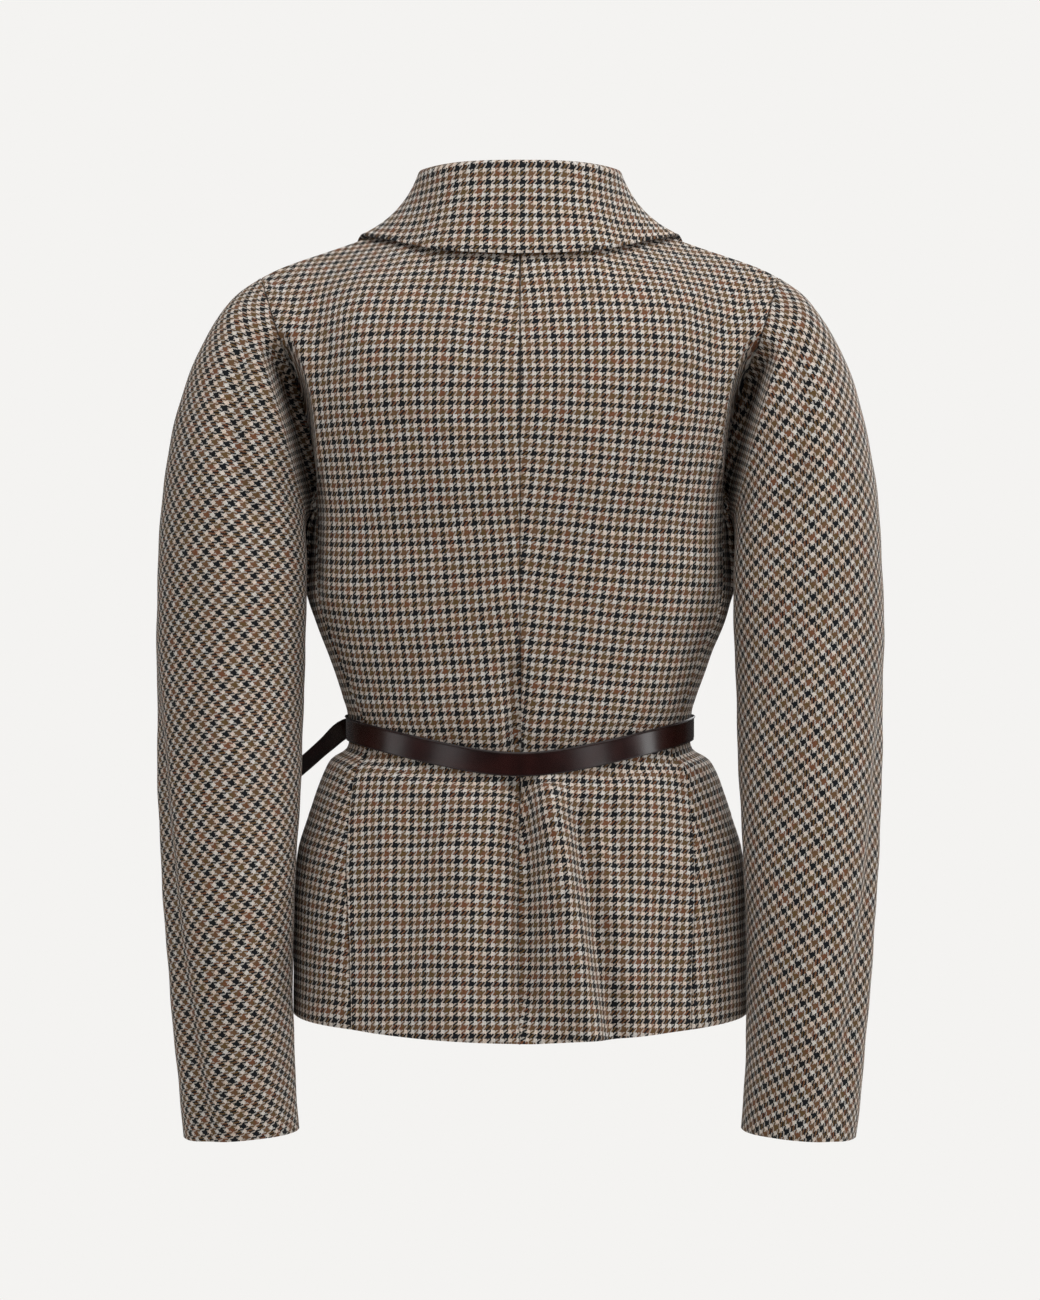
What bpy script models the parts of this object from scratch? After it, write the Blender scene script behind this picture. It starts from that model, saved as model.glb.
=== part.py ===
"""A woman's belted houndstooth jacket, worn and hollow: cloth panels, two sleeves, a turned-down collar and a leather belt.

Metres. +Z is up, the front faces -Y and the wearer's left is +X. The origin is the middle of the neck opening,
level with the shoulder seams' neck ends, where the wearer's shoulders carry the jacket.
"""

import math

import bpy
import numpy as np

# Cloth and seams
CLOTH = 0.0020
COLLAR_CLOTH = 0.0028
SEAM_GAP = 0.0003

# How finely the pieces are divided
PANEL_ROWS_ABOVE = 6
PANEL_LEVELS = (0, 0.7, 1.4, 2.0, 2.6, 3.2, 3.65, 4, 5, 5.35, 5.9, 6.6, 7.3, 8.0, 8.7, 9.35, 10)
NECK_SPANS = 3
FRONT_NECK_SPANS = 6
SHOULDER_SPANS = 5
ARMHOLE_SPANS = 8
SIDE_SPANS = 6
SLEEVE_ROWS = 19

# The body's level sections, from just under the armholes to the hem. Heights are given at the side, the centre
# back and the centre front. side_back and side_front are where the two seams of the side panel cross, in degrees
# round from the centre back. wrap is how far past the centre front each front reaches.
RING_COLUMNS = (
    "side_z", "back_z", "front_z", "half_width", "back_depth", "front_depth", "side_back", "side_front", "wrap",
)
RINGS = (
    (-0.236, -0.236, -0.236, 0.1590, 0.1120, 0.1230, 77.0, 104.0, 0.045),
    (-0.284, -0.286, -0.285, 0.1605, 0.1080, 0.1190, 75.5, 106.0, 0.045),
    (-0.330, -0.336, -0.332, 0.1445, 0.1040, 0.1080, 73.0, 109.0, 0.045),
    (-0.360, -0.378, -0.366, 0.1345, 0.1000, 0.0985, 70.5, 112.0, 0.045),
    (-0.3745, -0.3975, -0.3830, 0.1305, 0.0930, 0.0940, 68.5, 114.0, 0.045),
    (-0.3985, -0.4215, -0.4070, 0.1305, 0.0930, 0.0940, 67.0, 115.0, 0.045),
    (-0.410, -0.433, -0.420, 0.1450, 0.1010, 0.1010, 64.5, 117.0, 0.045),
    (-0.440, -0.463, -0.450, 0.1575, 0.1085, 0.1080, 61.5, 119.0, 0.045),
    (-0.480, -0.500, -0.488, 0.1695, 0.1160, 0.1150, 58.5, 120.0, 0.045),
    (-0.530, -0.547, -0.536, 0.1725, 0.1230, 0.1215, 56.0, 121.0, 0.045),
    (-0.600, -0.6145, -0.606, 0.1725, 0.1300, 0.1280, 54.0, 122.0, 0.045),
)
SQUARENESS = 2.25

# The neckline and the shoulders
NECK_BACK = (0.0, 0.060, -0.005)
NECK_SIDE = (0.072, 0.000, 0.004)
SHOULDER_TIP = (0.196, 0.003, -0.0425)
SHOULDER_BOW = 0.028
FRONT_NECK = (
    (0.072, 0.000, 0.004),
    (0.066, -0.034, -0.016),
    (0.050, -0.064, -0.046),
    (0.026, -0.086, -0.080),
    (-0.006, -0.101, -0.110),
    (-0.045, -0.106, -0.132),
)

# The chest at the centre front, where the fronts lie one on the other: height, half width and depth
CHEST = (
    (-0.0300, 0.200, 0.052),
    (-0.0550, 0.190, 0.073),
    (-0.0800, 0.182, 0.089),
    (-0.1100, 0.173, 0.104),
    (-0.1450, 0.165, 0.1150),
    (-0.1900, 0.160, 0.1215),
    (-0.2360, 0.1590, 0.1230),
    (-0.2850, 0.1605, 0.1190),
)

# The upper back's level sections: height, half width and depth
UPPER_BACK = (
    (0.0040, 0.075, 0.056),
    (-0.0200, 0.140, 0.0720),
    (-0.0425, 0.196, 0.0860),
    (-0.0700, 0.201, 0.1000),
    (-0.1000, 0.194, 0.1110),
    (-0.1400, 0.180, 0.1180),
    (-0.1900, 0.166, 0.1170),
    (-0.2360, 0.1590, 0.1120),
    (-0.2850, 0.1605, 0.1080),
)

# The armhole, going round from the shoulder tip by the back, the armpit and the front. angle is in degrees.
ARMHOLE = (
    (0, 0.1960, 0.003, -0.0425),
    (40, 0.1850, 0.0435, -0.0750),
    (75, 0.1715, 0.0550, -0.1150),
    (105, 0.1620, 0.0550, -0.1500),
    (135, 0.1550, 0.0410, -0.1860),
    (160, 0.1520, 0.018, -0.2050),
    (180, 0.1515, 0.000, -0.2100),
    (200, 0.1520, -0.018, -0.2050),
    (225, 0.1545, -0.040, -0.1840),
    (255, 0.1600, -0.056, -0.1450),
    (285, 0.1705, -0.054, -0.1100),
    (320, 0.1850, -0.0400, -0.0730),
    (360, 0.1960, 0.003, -0.0425),
)
ARMHOLE_AT_SIDE_BACK = 142.0
ARMHOLE_AT_SIDE_FRONT = 218.0

# Where a panel's top edge turns its corners, as shares of its width
BACK_NECK_SHARE = 0.24
BACK_SHOULDER_SHARE = 0.58
FRONT_SHOULDER_SHARE = 0.32
FRONT_NECK_SHARE = 0.58

# The way the cloth leaves a top edge, per metre of drop to the first ring: share across the panel, then x, y, z
BACK_LEAVES = (
    (0.00, 0.00, 0.75, -0.80),
    (0.24, 0.10, 1.10, -0.55),
    (0.46, -0.20, 1.05, -0.45),
    (0.58, -0.60, 0.85, -0.30),
    (0.70, -0.65, 0.60, -0.50),
    (0.82, -0.55, 0.25, -0.75),
    (0.92, -0.25, 0.10, -0.95),
    (1.00, 0.05, 0.03, -1.00),
)
SIDE_LEAVES = (
    (0.00, 0.05, 0.03, -1.00),
    (1.00, 0.05, -0.03, -1.00),
)
FRONT_LEAVES = (
    (0.00, 0.05, -0.03, -1.00),
    (0.07, -0.25, -0.12, -0.95),
    (0.15, -0.50, -0.35, -0.75),
    (0.24, -0.60, -0.60, -0.50),
    (0.32, -0.60, -0.85, -0.35),
    (0.42, -0.20, -1.00, -0.50),
    (0.58, 0.10, -1.05, -0.65),
    (0.75, 0.00, -0.45, -0.95),
    (1.00, 0.00, -0.45, -0.95),
)

# The sleeve's sections after the armhole. Each is a tilted ring from its outer point to its inner point.
# lean draws the inner side in behind the body.
SLEEVE_COLUMNS = ("outer_x", "outer_z", "inner_x", "inner_z", "middle_y", "half_depth", "lean")
SLEEVE_RINGS = (
    (0.2190, -0.0605, 0.1600, -0.2240, 0.004, 0.0660, 0.000),
    (0.2432, -0.0990, 0.1628, -0.2400, 0.006, 0.0720, 0.005),
    (0.2588, -0.1440, 0.1630, -0.2600, 0.009, 0.0745, 0.008),
    (0.2683, -0.1900, 0.1630, -0.2810, 0.012, 0.0745, 0.009),
    (0.2727, -0.2350, 0.1630, -0.3050, 0.016, 0.0735, 0.008),
    (0.2748, -0.2900, 0.1635, -0.3360, 0.019, 0.0715, 0.006),
    (0.2746, -0.3500, 0.1640, -0.3720, 0.024, 0.0690, 0.004),
    (0.2738, -0.4100, 0.1650, -0.4160, 0.031, 0.0660, 0.003),
    (0.2712, -0.4700, 0.1675, -0.4700, 0.038, 0.0630, 0.003),
    (0.2675, -0.5300, 0.1700, -0.5270, 0.043, 0.0600, 0.002),
    (0.2628, -0.5900, 0.1710, -0.5840, 0.043, 0.0570, 0.000),
    (0.2582, -0.6450, 0.1700, -0.6380, 0.038, 0.0545, 0.000),
    (0.2542, -0.6915, 0.1672, -0.6855, 0.032, 0.0520, 0.000),
)

# Soft folds of the body: where each starts and ends (x, z), its half width, and its height (a trough is negative)
FOLD_COLUMNS = ("top_x", "top_z", "low_x", "low_z", "half_width", "height", "fade")
BACK_FOLDS = (
    (0.003, -0.330, 0.003, -0.398, 0.007, -0.0075, 0.030),
    (-0.003, -0.422, -0.008, -0.560, 0.011, -0.0080, 0.060),
    (-0.030, -0.450, -0.060, -0.640, 0.017, 0.0080, 0.050),
    (-0.070, -0.428, -0.082, -0.520, 0.012, -0.0055, 0.040),
    (0.040, -0.460, 0.055, -0.640, 0.024, 0.0050, 0.070),
    (-0.108, -0.500, -0.118, -0.640, 0.016, -0.0035, 0.060),
    (0.100, -0.470, 0.112, -0.640, 0.016, -0.0035, 0.060),
)
FRONT_FOLDS = (
    (0.050, -0.430, 0.066, -0.640, 0.018, -0.0055, 0.060),
    (0.085, -0.450, 0.105, -0.640, 0.018, 0.0050, 0.060),
    (-0.060, -0.430, -0.078, -0.640, 0.019, -0.0060, 0.060),
    (-0.095, -0.450, -0.118, -0.640, 0.018, 0.0050, 0.060),
    (0.060, -0.300, 0.045, -0.385, 0.012, -0.0045, 0.035),
    (-0.055, -0.300, -0.042, -0.385, 0.012, -0.0045, 0.035),
)

# Soft folds of a sleeve: ring position and angle round at the start and the end, half width, height and fade
SLEEVE_FOLDS = (
    (7.2, 14.0, 12.9, 57.0, 0.0120, -0.0055, 1.6),
    (1.2, 62.0, 4.6, 58.0, 0.0120, -0.0040, 1.2),
    (6.5, 330.0, 9.6, 300.0, 0.0140, -0.0045, 1.0),
)

# The wrap of the two fronts
UNDERLAP_SINK = 0.0036
UNDERLAP_SLOPE = 0.026

# The collar, from the centre back to its front end: where along the neckline each section stands, the top of its
# roll, and where the fall's edge lies on the body (x, z). sag is how far the fall is drawn in under a straight line.
COLLAR_COLUMNS = ("panel", "neck", "roll_x", "roll_y", "roll_z", "edge_x", "edge_z", "sag")
COLLAR_SECTIONS = (
    ("back", 0.000, 0.0000, 0.0600, 0.0415, 0.0000, -0.0240, 0.002),
    ("back", 0.250, 0.0260, 0.0570, 0.0413, 0.0300, -0.0235, 0.002),
    ("back", 0.500, 0.0470, 0.0475, 0.0403, 0.0600, -0.0215, 0.003),
    ("back", 0.720, 0.0605, 0.0330, 0.0388, 0.0870, -0.0170, 0.004),
    ("back", 0.900, 0.0685, 0.0160, 0.0373, 0.1080, -0.0140, 0.006),
    ("front", 0.001, 0.0700, 0.0000, 0.0365, 0.1195, -0.0155, 0.007),
    ("front", 0.120, 0.0680, -0.0155, 0.0320, 0.1235, -0.0340, 0.009),
    ("front", 0.260, 0.0640, -0.0330, 0.0200, 0.1190, -0.0580, 0.008),
    ("front", 0.400, 0.0570, -0.0500, 0.0040, 0.1080, -0.0830, 0.006),
    ("front", 0.530, 0.0460, -0.0670, -0.0150, 0.0920, -0.1080, 0.004),
    ("front", 0.640, 0.0310, -0.0820, -0.0360, 0.0740, -0.1280, 0.002),
    ("front", 0.731, 0.0110, -0.0960, -0.0600, 0.0540, -0.1420, 0.000),
)
COLLAR_ROLL_RADIUS = 0.0040
COLLAR_CLEARANCE = 0.0042
COLLAR_SPANS = 14
STAND_STEPS = (0.0, 0.36, 0.72)
FALL_STEPS = (0.14, 0.30, 0.46, 0.62, 0.76, 0.88, 0.955, 1.0)

# The belt, from its sewn end in the buckle once round by the wearer's left side, the back and the right side.
# turn is in degrees from the centre back, and lift is from the cloth to the middle of the strap.
STRAP_WIDTH = 0.018
STRAP = 0.0020
BELT_LEVELS = (4.0, 5.0)
BELT_COLUMNS = ("turn", "lift")
BELT_FOLD = ((175.0, 0.0020), (177.0, 0.0030), (179.2, 0.0040))
BELT_PATH = (
    (180.0, 0.0088),
    (177.6, 0.0080),
    (174.6, 0.0050),
    (171.2, 0.0020),
    (168.0, 0.0017),
    (161.0, 0.0030),
    (156.0, 0.0040),
    (151.0, 0.0030),
    (145.0, 0.0017),
    (-166.0, 0.0017),
    (-170.2, 0.0028),
    (-173.5, 0.0055),
    (-177.0, 0.0098),
    (-180.0, 0.0112),
    (-183.0, 0.0100),
    (-186.4, 0.0066),
    (-189.6, 0.0042),
    (-196.0, 0.0044),
    (-204.0, 0.0064),
    (-212.0, 0.0050),
    (-220.0, 0.0042),
    (-225.0, 0.0042),
)
BELT_STEP = 7.0
TAIL = (
    (0.1120, -0.0735, -0.3885, 8.0),
    (0.1340, -0.0680, -0.3880, 38.0),
    (0.1500, -0.0645, -0.4005, 53.0),
    (0.1660, -0.0615, -0.4145, 55.0),
    (0.1860, -0.0575, -0.4310, 55.0),
    (0.2050, -0.0540, -0.4470, 55.0),
    (0.2120, -0.0527, -0.4530, 55.0),
)
TAIL_WIDTHS = (1.0, 1.0, 1.0, 1.0, 1.0, 1.0, 0.45)

BUCKLE_BAR = 0.0011
BUCKLE_LIFT = 0.0064
BUCKLE_HALF_LENGTH = 0.0160
BUCKLE_HALF_HEIGHT = 0.0110
LOOP_RADIUS = 0.0024
KEEPER_TURN = 156.0
KEEPER_WIDTH = 0.006
KEEPER = 0.0013

WOOL = (0.19, 0.14, 0.11)
LEATHER = (0.033, 0.008, 0.006)
BRASS = (0.48, 0.30, 0.11)


def smooth(x):
    """Eases from 0 to 1."""
    x = np.clip(x, 0.0, 1.0)
    return x * x * (3.0 - 2.0 * x)


def mix(a, b, share):
    return a + (b - a) * share


def through(values, at, closed_start=None):
    """A smooth curve through evenly numbered values, read at positions from 0 to len(values) - 1."""
    values = np.asarray(values, float)
    last = len(values) - 1
    slopes = np.empty_like(values)
    slopes[1:-1] = (values[2:] - values[:-2]) / 2
    slopes[0] = values[1] - values[0]
    slopes[-1] = values[-1] - values[-2]
    if closed_start is not None:
        slopes[0] = closed_start
    at = np.asarray(at, float)
    k = np.clip(np.floor(at), 0, last - 1).astype(int)
    t = at - k
    shape = t.shape + (1,) * (values[k].ndim - t.ndim)
    t = t.reshape(shape)
    return (
        values[k] * (2 * t**3 - 3 * t**2 + 1)
        + slopes[k] * (t**3 - 2 * t**2 + t)
        + values[k + 1] * (3 * t**2 - 2 * t**3)
        + slopes[k + 1] * (t**3 - t**2)
    )


def through_knots(knots, values, at):
    """A smooth curve through values at uneven knots."""
    position = np.interp(at, knots, np.arange(len(knots)))
    return through(values, position)


def column(rows, names, name):
    return np.array([row[names.index(name)] for row in rows], float)


def ring_point(level, angle):
    """A point of the body's outside. level counts the rings from 0, and angle is in radians from the centre back."""
    size = {name: through(column(RINGS, RING_COLUMNS, name), level) for name in RING_COLUMNS[:6]}
    s, c = np.sin(angle), np.cos(angle)
    behind = c > 0
    depth = np.where(behind, size["back_depth"], size["front_depth"])
    end_z = np.where(behind, size["back_z"], size["front_z"])
    n = SQUARENESS
    r = (np.abs(s / size["half_width"]) ** n + np.abs(c / depth) ** n) ** (-1 / n)
    z = size["side_z"] + (end_z - size["side_z"]) * c * c
    return np.stack([r * s, r * c, z], -1)


def armhole(angle):
    """A point of the left armhole, angle in degrees from the shoulder tip by the back."""
    knots = [row[0] for row in ARMHOLE]
    points = np.array([row[1:] for row in ARMHOLE])
    position = np.interp(angle, knots, np.arange(len(knots)))
    wrapped = np.vstack([points[-2], points, points[1]])
    return through(wrapped, position + 1)


def back_neck(share):
    turn = share * math.pi / 2
    x = NECK_SIDE[0] * np.sin(turn)
    y = NECK_BACK[1] * np.cos(turn)
    z = mix(NECK_BACK[2], NECK_SIDE[2], np.sin(turn) ** 2)
    return np.stack([x, y, z], -1)


def shoulder(share):
    share = np.clip(share, 0, 1)[..., None]
    bow = SHOULDER_BOW * share**5 * (1 - share) * np.array([0, 0, 1])
    return mix(np.array(NECK_SIDE), np.array(SHOULDER_TIP), share) + bow


def front_neck(share):
    return through(FRONT_NECK, np.asarray(share) * (len(FRONT_NECK) - 1))


def leaving(u, rows):
    rows = np.array(rows)
    return np.stack([np.interp(u, rows[:, 0], rows[:, k]) for k in (1, 2, 3)], -1)


def back_top(u):
    """The back panel's top edge from the centre back (u 0) to the side panel (u 1), and the way the cloth leaves it."""
    u = np.asarray(u, float)
    neck = back_neck(np.clip(u / BACK_NECK_SHARE, -1, 1))
    seam = shoulder((u - BACK_NECK_SHARE) / (BACK_SHOULDER_SHARE - BACK_NECK_SHARE))
    down = (u - BACK_SHOULDER_SHARE) / (1 - BACK_SHOULDER_SHARE)
    hole = armhole(np.clip(down, 0, 1.2) * ARMHOLE_AT_SIDE_BACK)
    pick = u[..., None]
    point = np.where(pick < BACK_NECK_SHARE, neck, np.where(pick < BACK_SHOULDER_SHARE, seam, hole))
    return point, leaving(np.abs(u), BACK_LEAVES)


def side_top(u):
    u = np.asarray(u, float)
    point = armhole(mix(ARMHOLE_AT_SIDE_BACK, ARMHOLE_AT_SIDE_FRONT, u))
    return point, leaving(u, SIDE_LEAVES)


def front_top(u):
    """The front panel's top edge from the side panel (u 0) to the front edge (u 1)."""
    u = np.asarray(u, float)
    hole = armhole(mix(ARMHOLE_AT_SIDE_FRONT, 360.0, np.clip(u / FRONT_SHOULDER_SHARE, -0.2, 1)))
    seam = shoulder(1 - (u - FRONT_SHOULDER_SHARE) / (FRONT_NECK_SHARE - FRONT_SHOULDER_SHARE))
    neck = front_neck(np.clip((u - FRONT_NECK_SHARE) / (1 - FRONT_NECK_SHARE), 0, 1.05))
    pick = u[..., None]
    point = np.where(pick < FRONT_SHOULDER_SHARE, hole, np.where(pick < FRONT_NECK_SHARE, seam, neck))
    return point, leaving(u, FRONT_LEAVES)


TOP_EDGES = {"back": back_top, "side": side_top, "front": front_top}


def seam_angles(level, panel):
    """The angles, in radians, of a panel's two sides on a ring."""
    side_back = np.radians(through(column(RINGS, RING_COLUMNS, "side_back"), level))
    side_front = np.radians(through(column(RINGS, RING_COLUMNS, "side_front"), level))
    if panel == "back":
        return 0 * side_back, side_back
    if panel == "side":
        return side_back, side_front
    wrap = through(column(RINGS, RING_COLUMNS, "wrap"), level)
    depth = through(column(RINGS, RING_COLUMNS, "front_depth"), level)
    return side_front, math.pi + np.arctan2(wrap, depth)


def plain_point(panel, u, r):
    """The body's outside before its folds. r is 0 at the top edge, 1 at the first ring, and counts rings after that."""
    u, r = np.broadcast_arrays(np.asarray(u, float), np.asarray(r, float))
    level = np.maximum(r - 1, 0)
    first, last = seam_angles(level, panel)
    below = ring_point(level, mix(first, last, u))
    start, way = TOP_EDGES[panel](u)
    zero = np.zeros_like(u)
    first, last = seam_angles(zero, panel)
    ring = ring_point(zero, mix(first, last, u))
    step = ring_point(zero + 1, mix(*seam_angles(zero + 1, panel), u)) - ring
    drop = np.linalg.norm(ring - start, axis=-1)[..., None]
    t = np.clip(r, -0.1, 1)[..., None]
    arrive = step / np.linalg.norm(step, axis=-1)[..., None] * drop
    above = (
        start * (2 * t**3 - 3 * t**2 + 1)
        + way * drop * (t**3 - 2 * t**2 + t)
        + ring * (3 * t**2 - 2 * t**3)
        + arrive * (t**3 - t**2)
    )
    if panel == "front":
        above = above + np.array([0, 1, 0]) * chest_pull(above)[..., None]
    if panel == "back":
        above = above + np.array([0, 1, 0]) * back_pull(above, r)[..., None]
    return np.where((r < 1)[..., None], above, below)


def section_depth(x, z, table):
    rows = np.array(table)[::-1]
    shape = np.moveaxis(through_knots(rows[:, 0], rows[:, 1:], z), -1, 0)
    return shape[1] * (1 - np.clip(np.abs(x) / shape[0], 0, 1) ** SQUARENESS) ** (1 / SQUARENESS)


def chest_pull(place):
    """How far to move a point of the front in y so both fronts follow the same chest near the centre front."""
    x, y, z = np.moveaxis(place, -1, 0)
    weight = smooth((0.082 - np.abs(x)) / 0.030) * smooth((-0.022 - z) / 0.030)
    return (-section_depth(x, z, CHEST) - y) * weight


def back_pull(place, r):
    """How far to move a point of the back in y, away from its edges, so the upper back is evenly rounded."""
    x, y, z = np.moveaxis(place, -1, 0)
    weight = smooth(r / 0.45) * smooth((0.160 - np.abs(x)) / 0.045)
    return (section_depth(x, z, UPPER_BACK) - y) * weight


def normal_of(surface, u, r, du, dr):
    """Unit normals of a surface, by small steps either way."""
    across = surface(u + du, r) - surface(u - du, r)
    along = surface(u, r + dr) - surface(u, r - dr)
    n = np.cross(across, along)
    return n / np.maximum(np.linalg.norm(n, axis=-1), 1e-12)[..., None]


def fold_height(x, z, folds):
    """The height of all folds at places (x, z)."""
    total = np.zeros_like(x)
    for top_x, top_z, low_x, low_z, half_width, height, fade in folds:
        share = np.clip((top_z - z) / (top_z - low_z), 0, 1)
        off = (x - mix(top_x, low_x, share)) / half_width
        ends = smooth((top_z + fade / 2 - z) / fade) * smooth((z - low_z + fade / 2) / fade)
        total += height * np.exp(-off * off) * ends
    return total


def body_point(panel, side, u, r):
    """The body's outside with its folds, for the left half (side 1) or the right half (side -1)."""
    place = plain_point(panel, u, r)
    push = plain_normal(panel, u, r)
    x = side * place[..., 0]
    behind = place[..., 1] > 0
    height = np.where(
        behind,
        fold_height(x, place[..., 2], BACK_FOLDS),
        fold_height(x, place[..., 2], FRONT_FOLDS),
    )
    fade = smooth(np.abs(place[..., 1]) / 0.03)
    if panel == "front" and side > 0:
        under = smooth((0.048 + UNDERLAP_SLOPE - place[..., 0]) / UNDERLAP_SLOPE)
        height = height * fade - UNDERLAP_SINK * under * smooth((-0.03 - place[..., 2]) / 0.03)
    else:
        height = height * fade
    place = place + push * height[..., None]
    return place * np.array([side, 1, 1])


def plain_normal(panel, u, r):
    """Normals of the plain surface. Just below a top edge they are taken from a little further down."""
    return normal_of(lambda a, b: plain_point(panel, a, b), u, np.maximum(r, 0.02), 0.004, 0.02)


def body_normal(panel, side, u, r):
    surface = normal_of(lambda a, b: body_point(panel, side, a, b), u, np.maximum(r, 0.02), 0.004, 0.02)
    return surface * side


def sleeve_ring(k, angle):
    """A point of the left sleeve's section k (0 is the armhole), angle in radians from the outer side by the back."""
    if k == 0:
        return armhole(np.degrees(angle) % 360)
    row = dict(zip(SLEEVE_COLUMNS, SLEEVE_RINGS[k - 1]))
    c, s = np.cos(angle), np.sin(angle)
    x = mix(row["inner_x"], row["outer_x"], (1 + c) / 2)
    z = mix(row["inner_z"], row["outer_z"], (1 + c) / 2)
    y = row["middle_y"] + row["half_depth"] * s
    x = x - row["lean"] * 2 * np.maximum(s, 0) * np.maximum(-c, 0)
    return np.stack([x, y, z], -1)


def sleeve_plain(v, angle):
    v, angle = np.broadcast_arrays(np.asarray(v, float), np.asarray(angle, float))
    rings = np.stack([sleeve_ring(k, angle) for k in range(len(SLEEVE_RINGS) + 1)])
    last = len(rings) - 1
    slopes = np.empty_like(rings)
    slopes[1:-1] = (rings[2:] - rings[:-2]) / 2
    slopes[0] = rings[1] - rings[0]
    slopes[-1] = rings[-1] - rings[-2]
    k = np.clip(np.floor(v), 0, last - 1).astype(int)
    t = (v - k)[..., None]
    pick = tuple(np.indices(v.shape))
    return (
        rings[(k,) + pick] * (2 * t**3 - 3 * t**2 + 1)
        + slopes[(k,) + pick] * (t**3 - 2 * t**2 + t)
        + rings[(k + 1,) + pick] * (3 * t**2 - 2 * t**3)
        + slopes[(k + 1,) + pick] * (t**3 - t**2)
    )


def sleeve_point(side, v, angle):
    place = sleeve_plain(v, angle)
    push = normal_of(sleeve_plain, np.maximum(v, 0.02), angle, 0.01, 0.02)
    turn = np.degrees(angle) % 360
    height = np.zeros_like(place[..., 0])
    for start, start_turn, end, end_turn, half_width, fold, fade in SLEEVE_FOLDS:
        share = np.clip((v - start) / (end - start), 0, 1)
        off = (turn - mix(start_turn, end_turn, share) + 180) % 360 - 180
        off = np.radians(off) * 0.055 / half_width
        ends = smooth((v - start + fade / 2) / fade) * smooth((end + fade / 2 - v) / fade)
        height = height + fold * np.exp(-off * off) * ends
    return (place + push * height[..., None]) * np.array([side, 1, 1])


def sleeve_normal(side, v, angle):
    return side * normal_of(lambda a, b: sleeve_point(side, a, b), np.maximum(v, 0.02), angle, 0.01, 0.02)


def add_object(name, points, faces, colour, metallic=0.0, roughness=0.8):
    mesh = bpy.data.meshes.new(name)
    mesh.from_pydata([tuple(p) for p in points], [], faces)
    mesh.validate()
    mesh.shade_smooth()
    mesh.set_sharp_from_angle(angle=math.radians(50))
    material = bpy.data.materials.get(name) or bpy.data.materials.new(name)
    material.use_nodes = True
    shader = material.node_tree.nodes["Principled BSDF"]
    shader.inputs["Base Color"].default_value = (*colour, 1)
    shader.inputs["Roughness"].default_value = roughness
    shader.inputs["Metallic"].default_value = metallic
    mesh.materials.append(material)
    thing = bpy.data.objects.new(name, mesh)
    bpy.context.scene.collection.objects.link(thing)
    return thing


def wall(name, outside, inside, closed, flip, colour=WOOL):
    """One closed solid between two grids of points. With closed, the grid's columns join round into a tube."""
    rows, columns = outside.shape[:2]
    count = rows * columns
    points = np.concatenate([outside.reshape(-1, 3), inside.reshape(-1, 3)])
    faces = []

    def quad(a, b, c, d):
        if np.linalg.norm(points[a] - points[c]) < np.linalg.norm(points[b] - points[d]):
            faces.extend(((a, b, c), (a, c, d)))
        else:
            faces.extend(((a, b, d), (b, c, d)))

    spans = columns if closed else columns - 1
    for i in range(rows - 1):
        for j in range(spans):
            a, b = i * columns + j, i * columns + (j + 1) % columns
            c, d = b + columns, a + columns
            faces.extend(((a, b, c), (a, c, d)))
            faces.extend(((count + a, count + c, count + b), (count + a, count + d, count + c)))
    for j in range(spans):
        a, b = j, (j + 1) % columns
        quad(a, count + a, count + b, b)
        a, b = a + (rows - 1) * columns, b + (rows - 1) * columns
        quad(a, b, count + b, count + a)
    if not closed:
        for i in range(rows - 1):
            a, d = i * columns, (i + 1) * columns
            quad(a, d, count + d, count + a)
            a, d = a + columns - 1, d + columns - 1
            quad(a, count + a, count + d, d)
    if flip:
        faces = [face[::-1] for face in faces]
    return add_object(name, points, faces, colour)


def pulled_in(grid, edges, distance):
    """Moves a grid's named edges in along its own lines, which opens the seam gaps."""
    grid = grid.copy()
    picks = {
        "first_column": ((slice(None), 0), (slice(None), 1)),
        "last_column": ((slice(None), -1), (slice(None), -2)),
        "first_row": ((0,), (1,)),
        "last_row": ((-1,), (-2,)),
    }
    for edge in edges:
        here, there = picks[edge]
        way = grid[there] - grid[here]
        grid[here] += distance * way / np.linalg.norm(way, axis=-1)[..., None]
    return grid


def panel_rows():
    above = np.linspace(0, 1, PANEL_ROWS_ABOVE, endpoint=False)
    return np.concatenate([above, 1 + np.array(PANEL_LEVELS)])


def steps(*marks):
    """Places between marks, given as start, (spans, end), (spans, end)..."""
    places = [marks[0]]
    for spans, end in marks[1:]:
        places += list(np.linspace(places[-1], end, spans + 1)[1:])
    return np.array(places)


def panel_columns(panel):
    if panel == "back":
        return steps(0, (NECK_SPANS, BACK_NECK_SHARE), (SHOULDER_SPANS, BACK_SHOULDER_SHARE), (ARMHOLE_SPANS, 1))
    if panel == "side":
        return steps(0, (SIDE_SPANS, 1))
    first = (ARMHOLE_SPANS, FRONT_SHOULDER_SHARE)
    return steps(0, first, (SHOULDER_SPANS, FRONT_NECK_SHARE), (FRONT_NECK_SPANS, 1))


def sleeve_turns():
    marks = (ARMHOLE_SPANS, ARMHOLE_AT_SIDE_BACK), (SIDE_SPANS, ARMHOLE_AT_SIDE_FRONT), (ARMHOLE_SPANS, 360)
    return np.radians(steps(0, *marks)[:-1])


def place_key(point):
    return tuple(int(round(v * 1e5)) for v in point)


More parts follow.
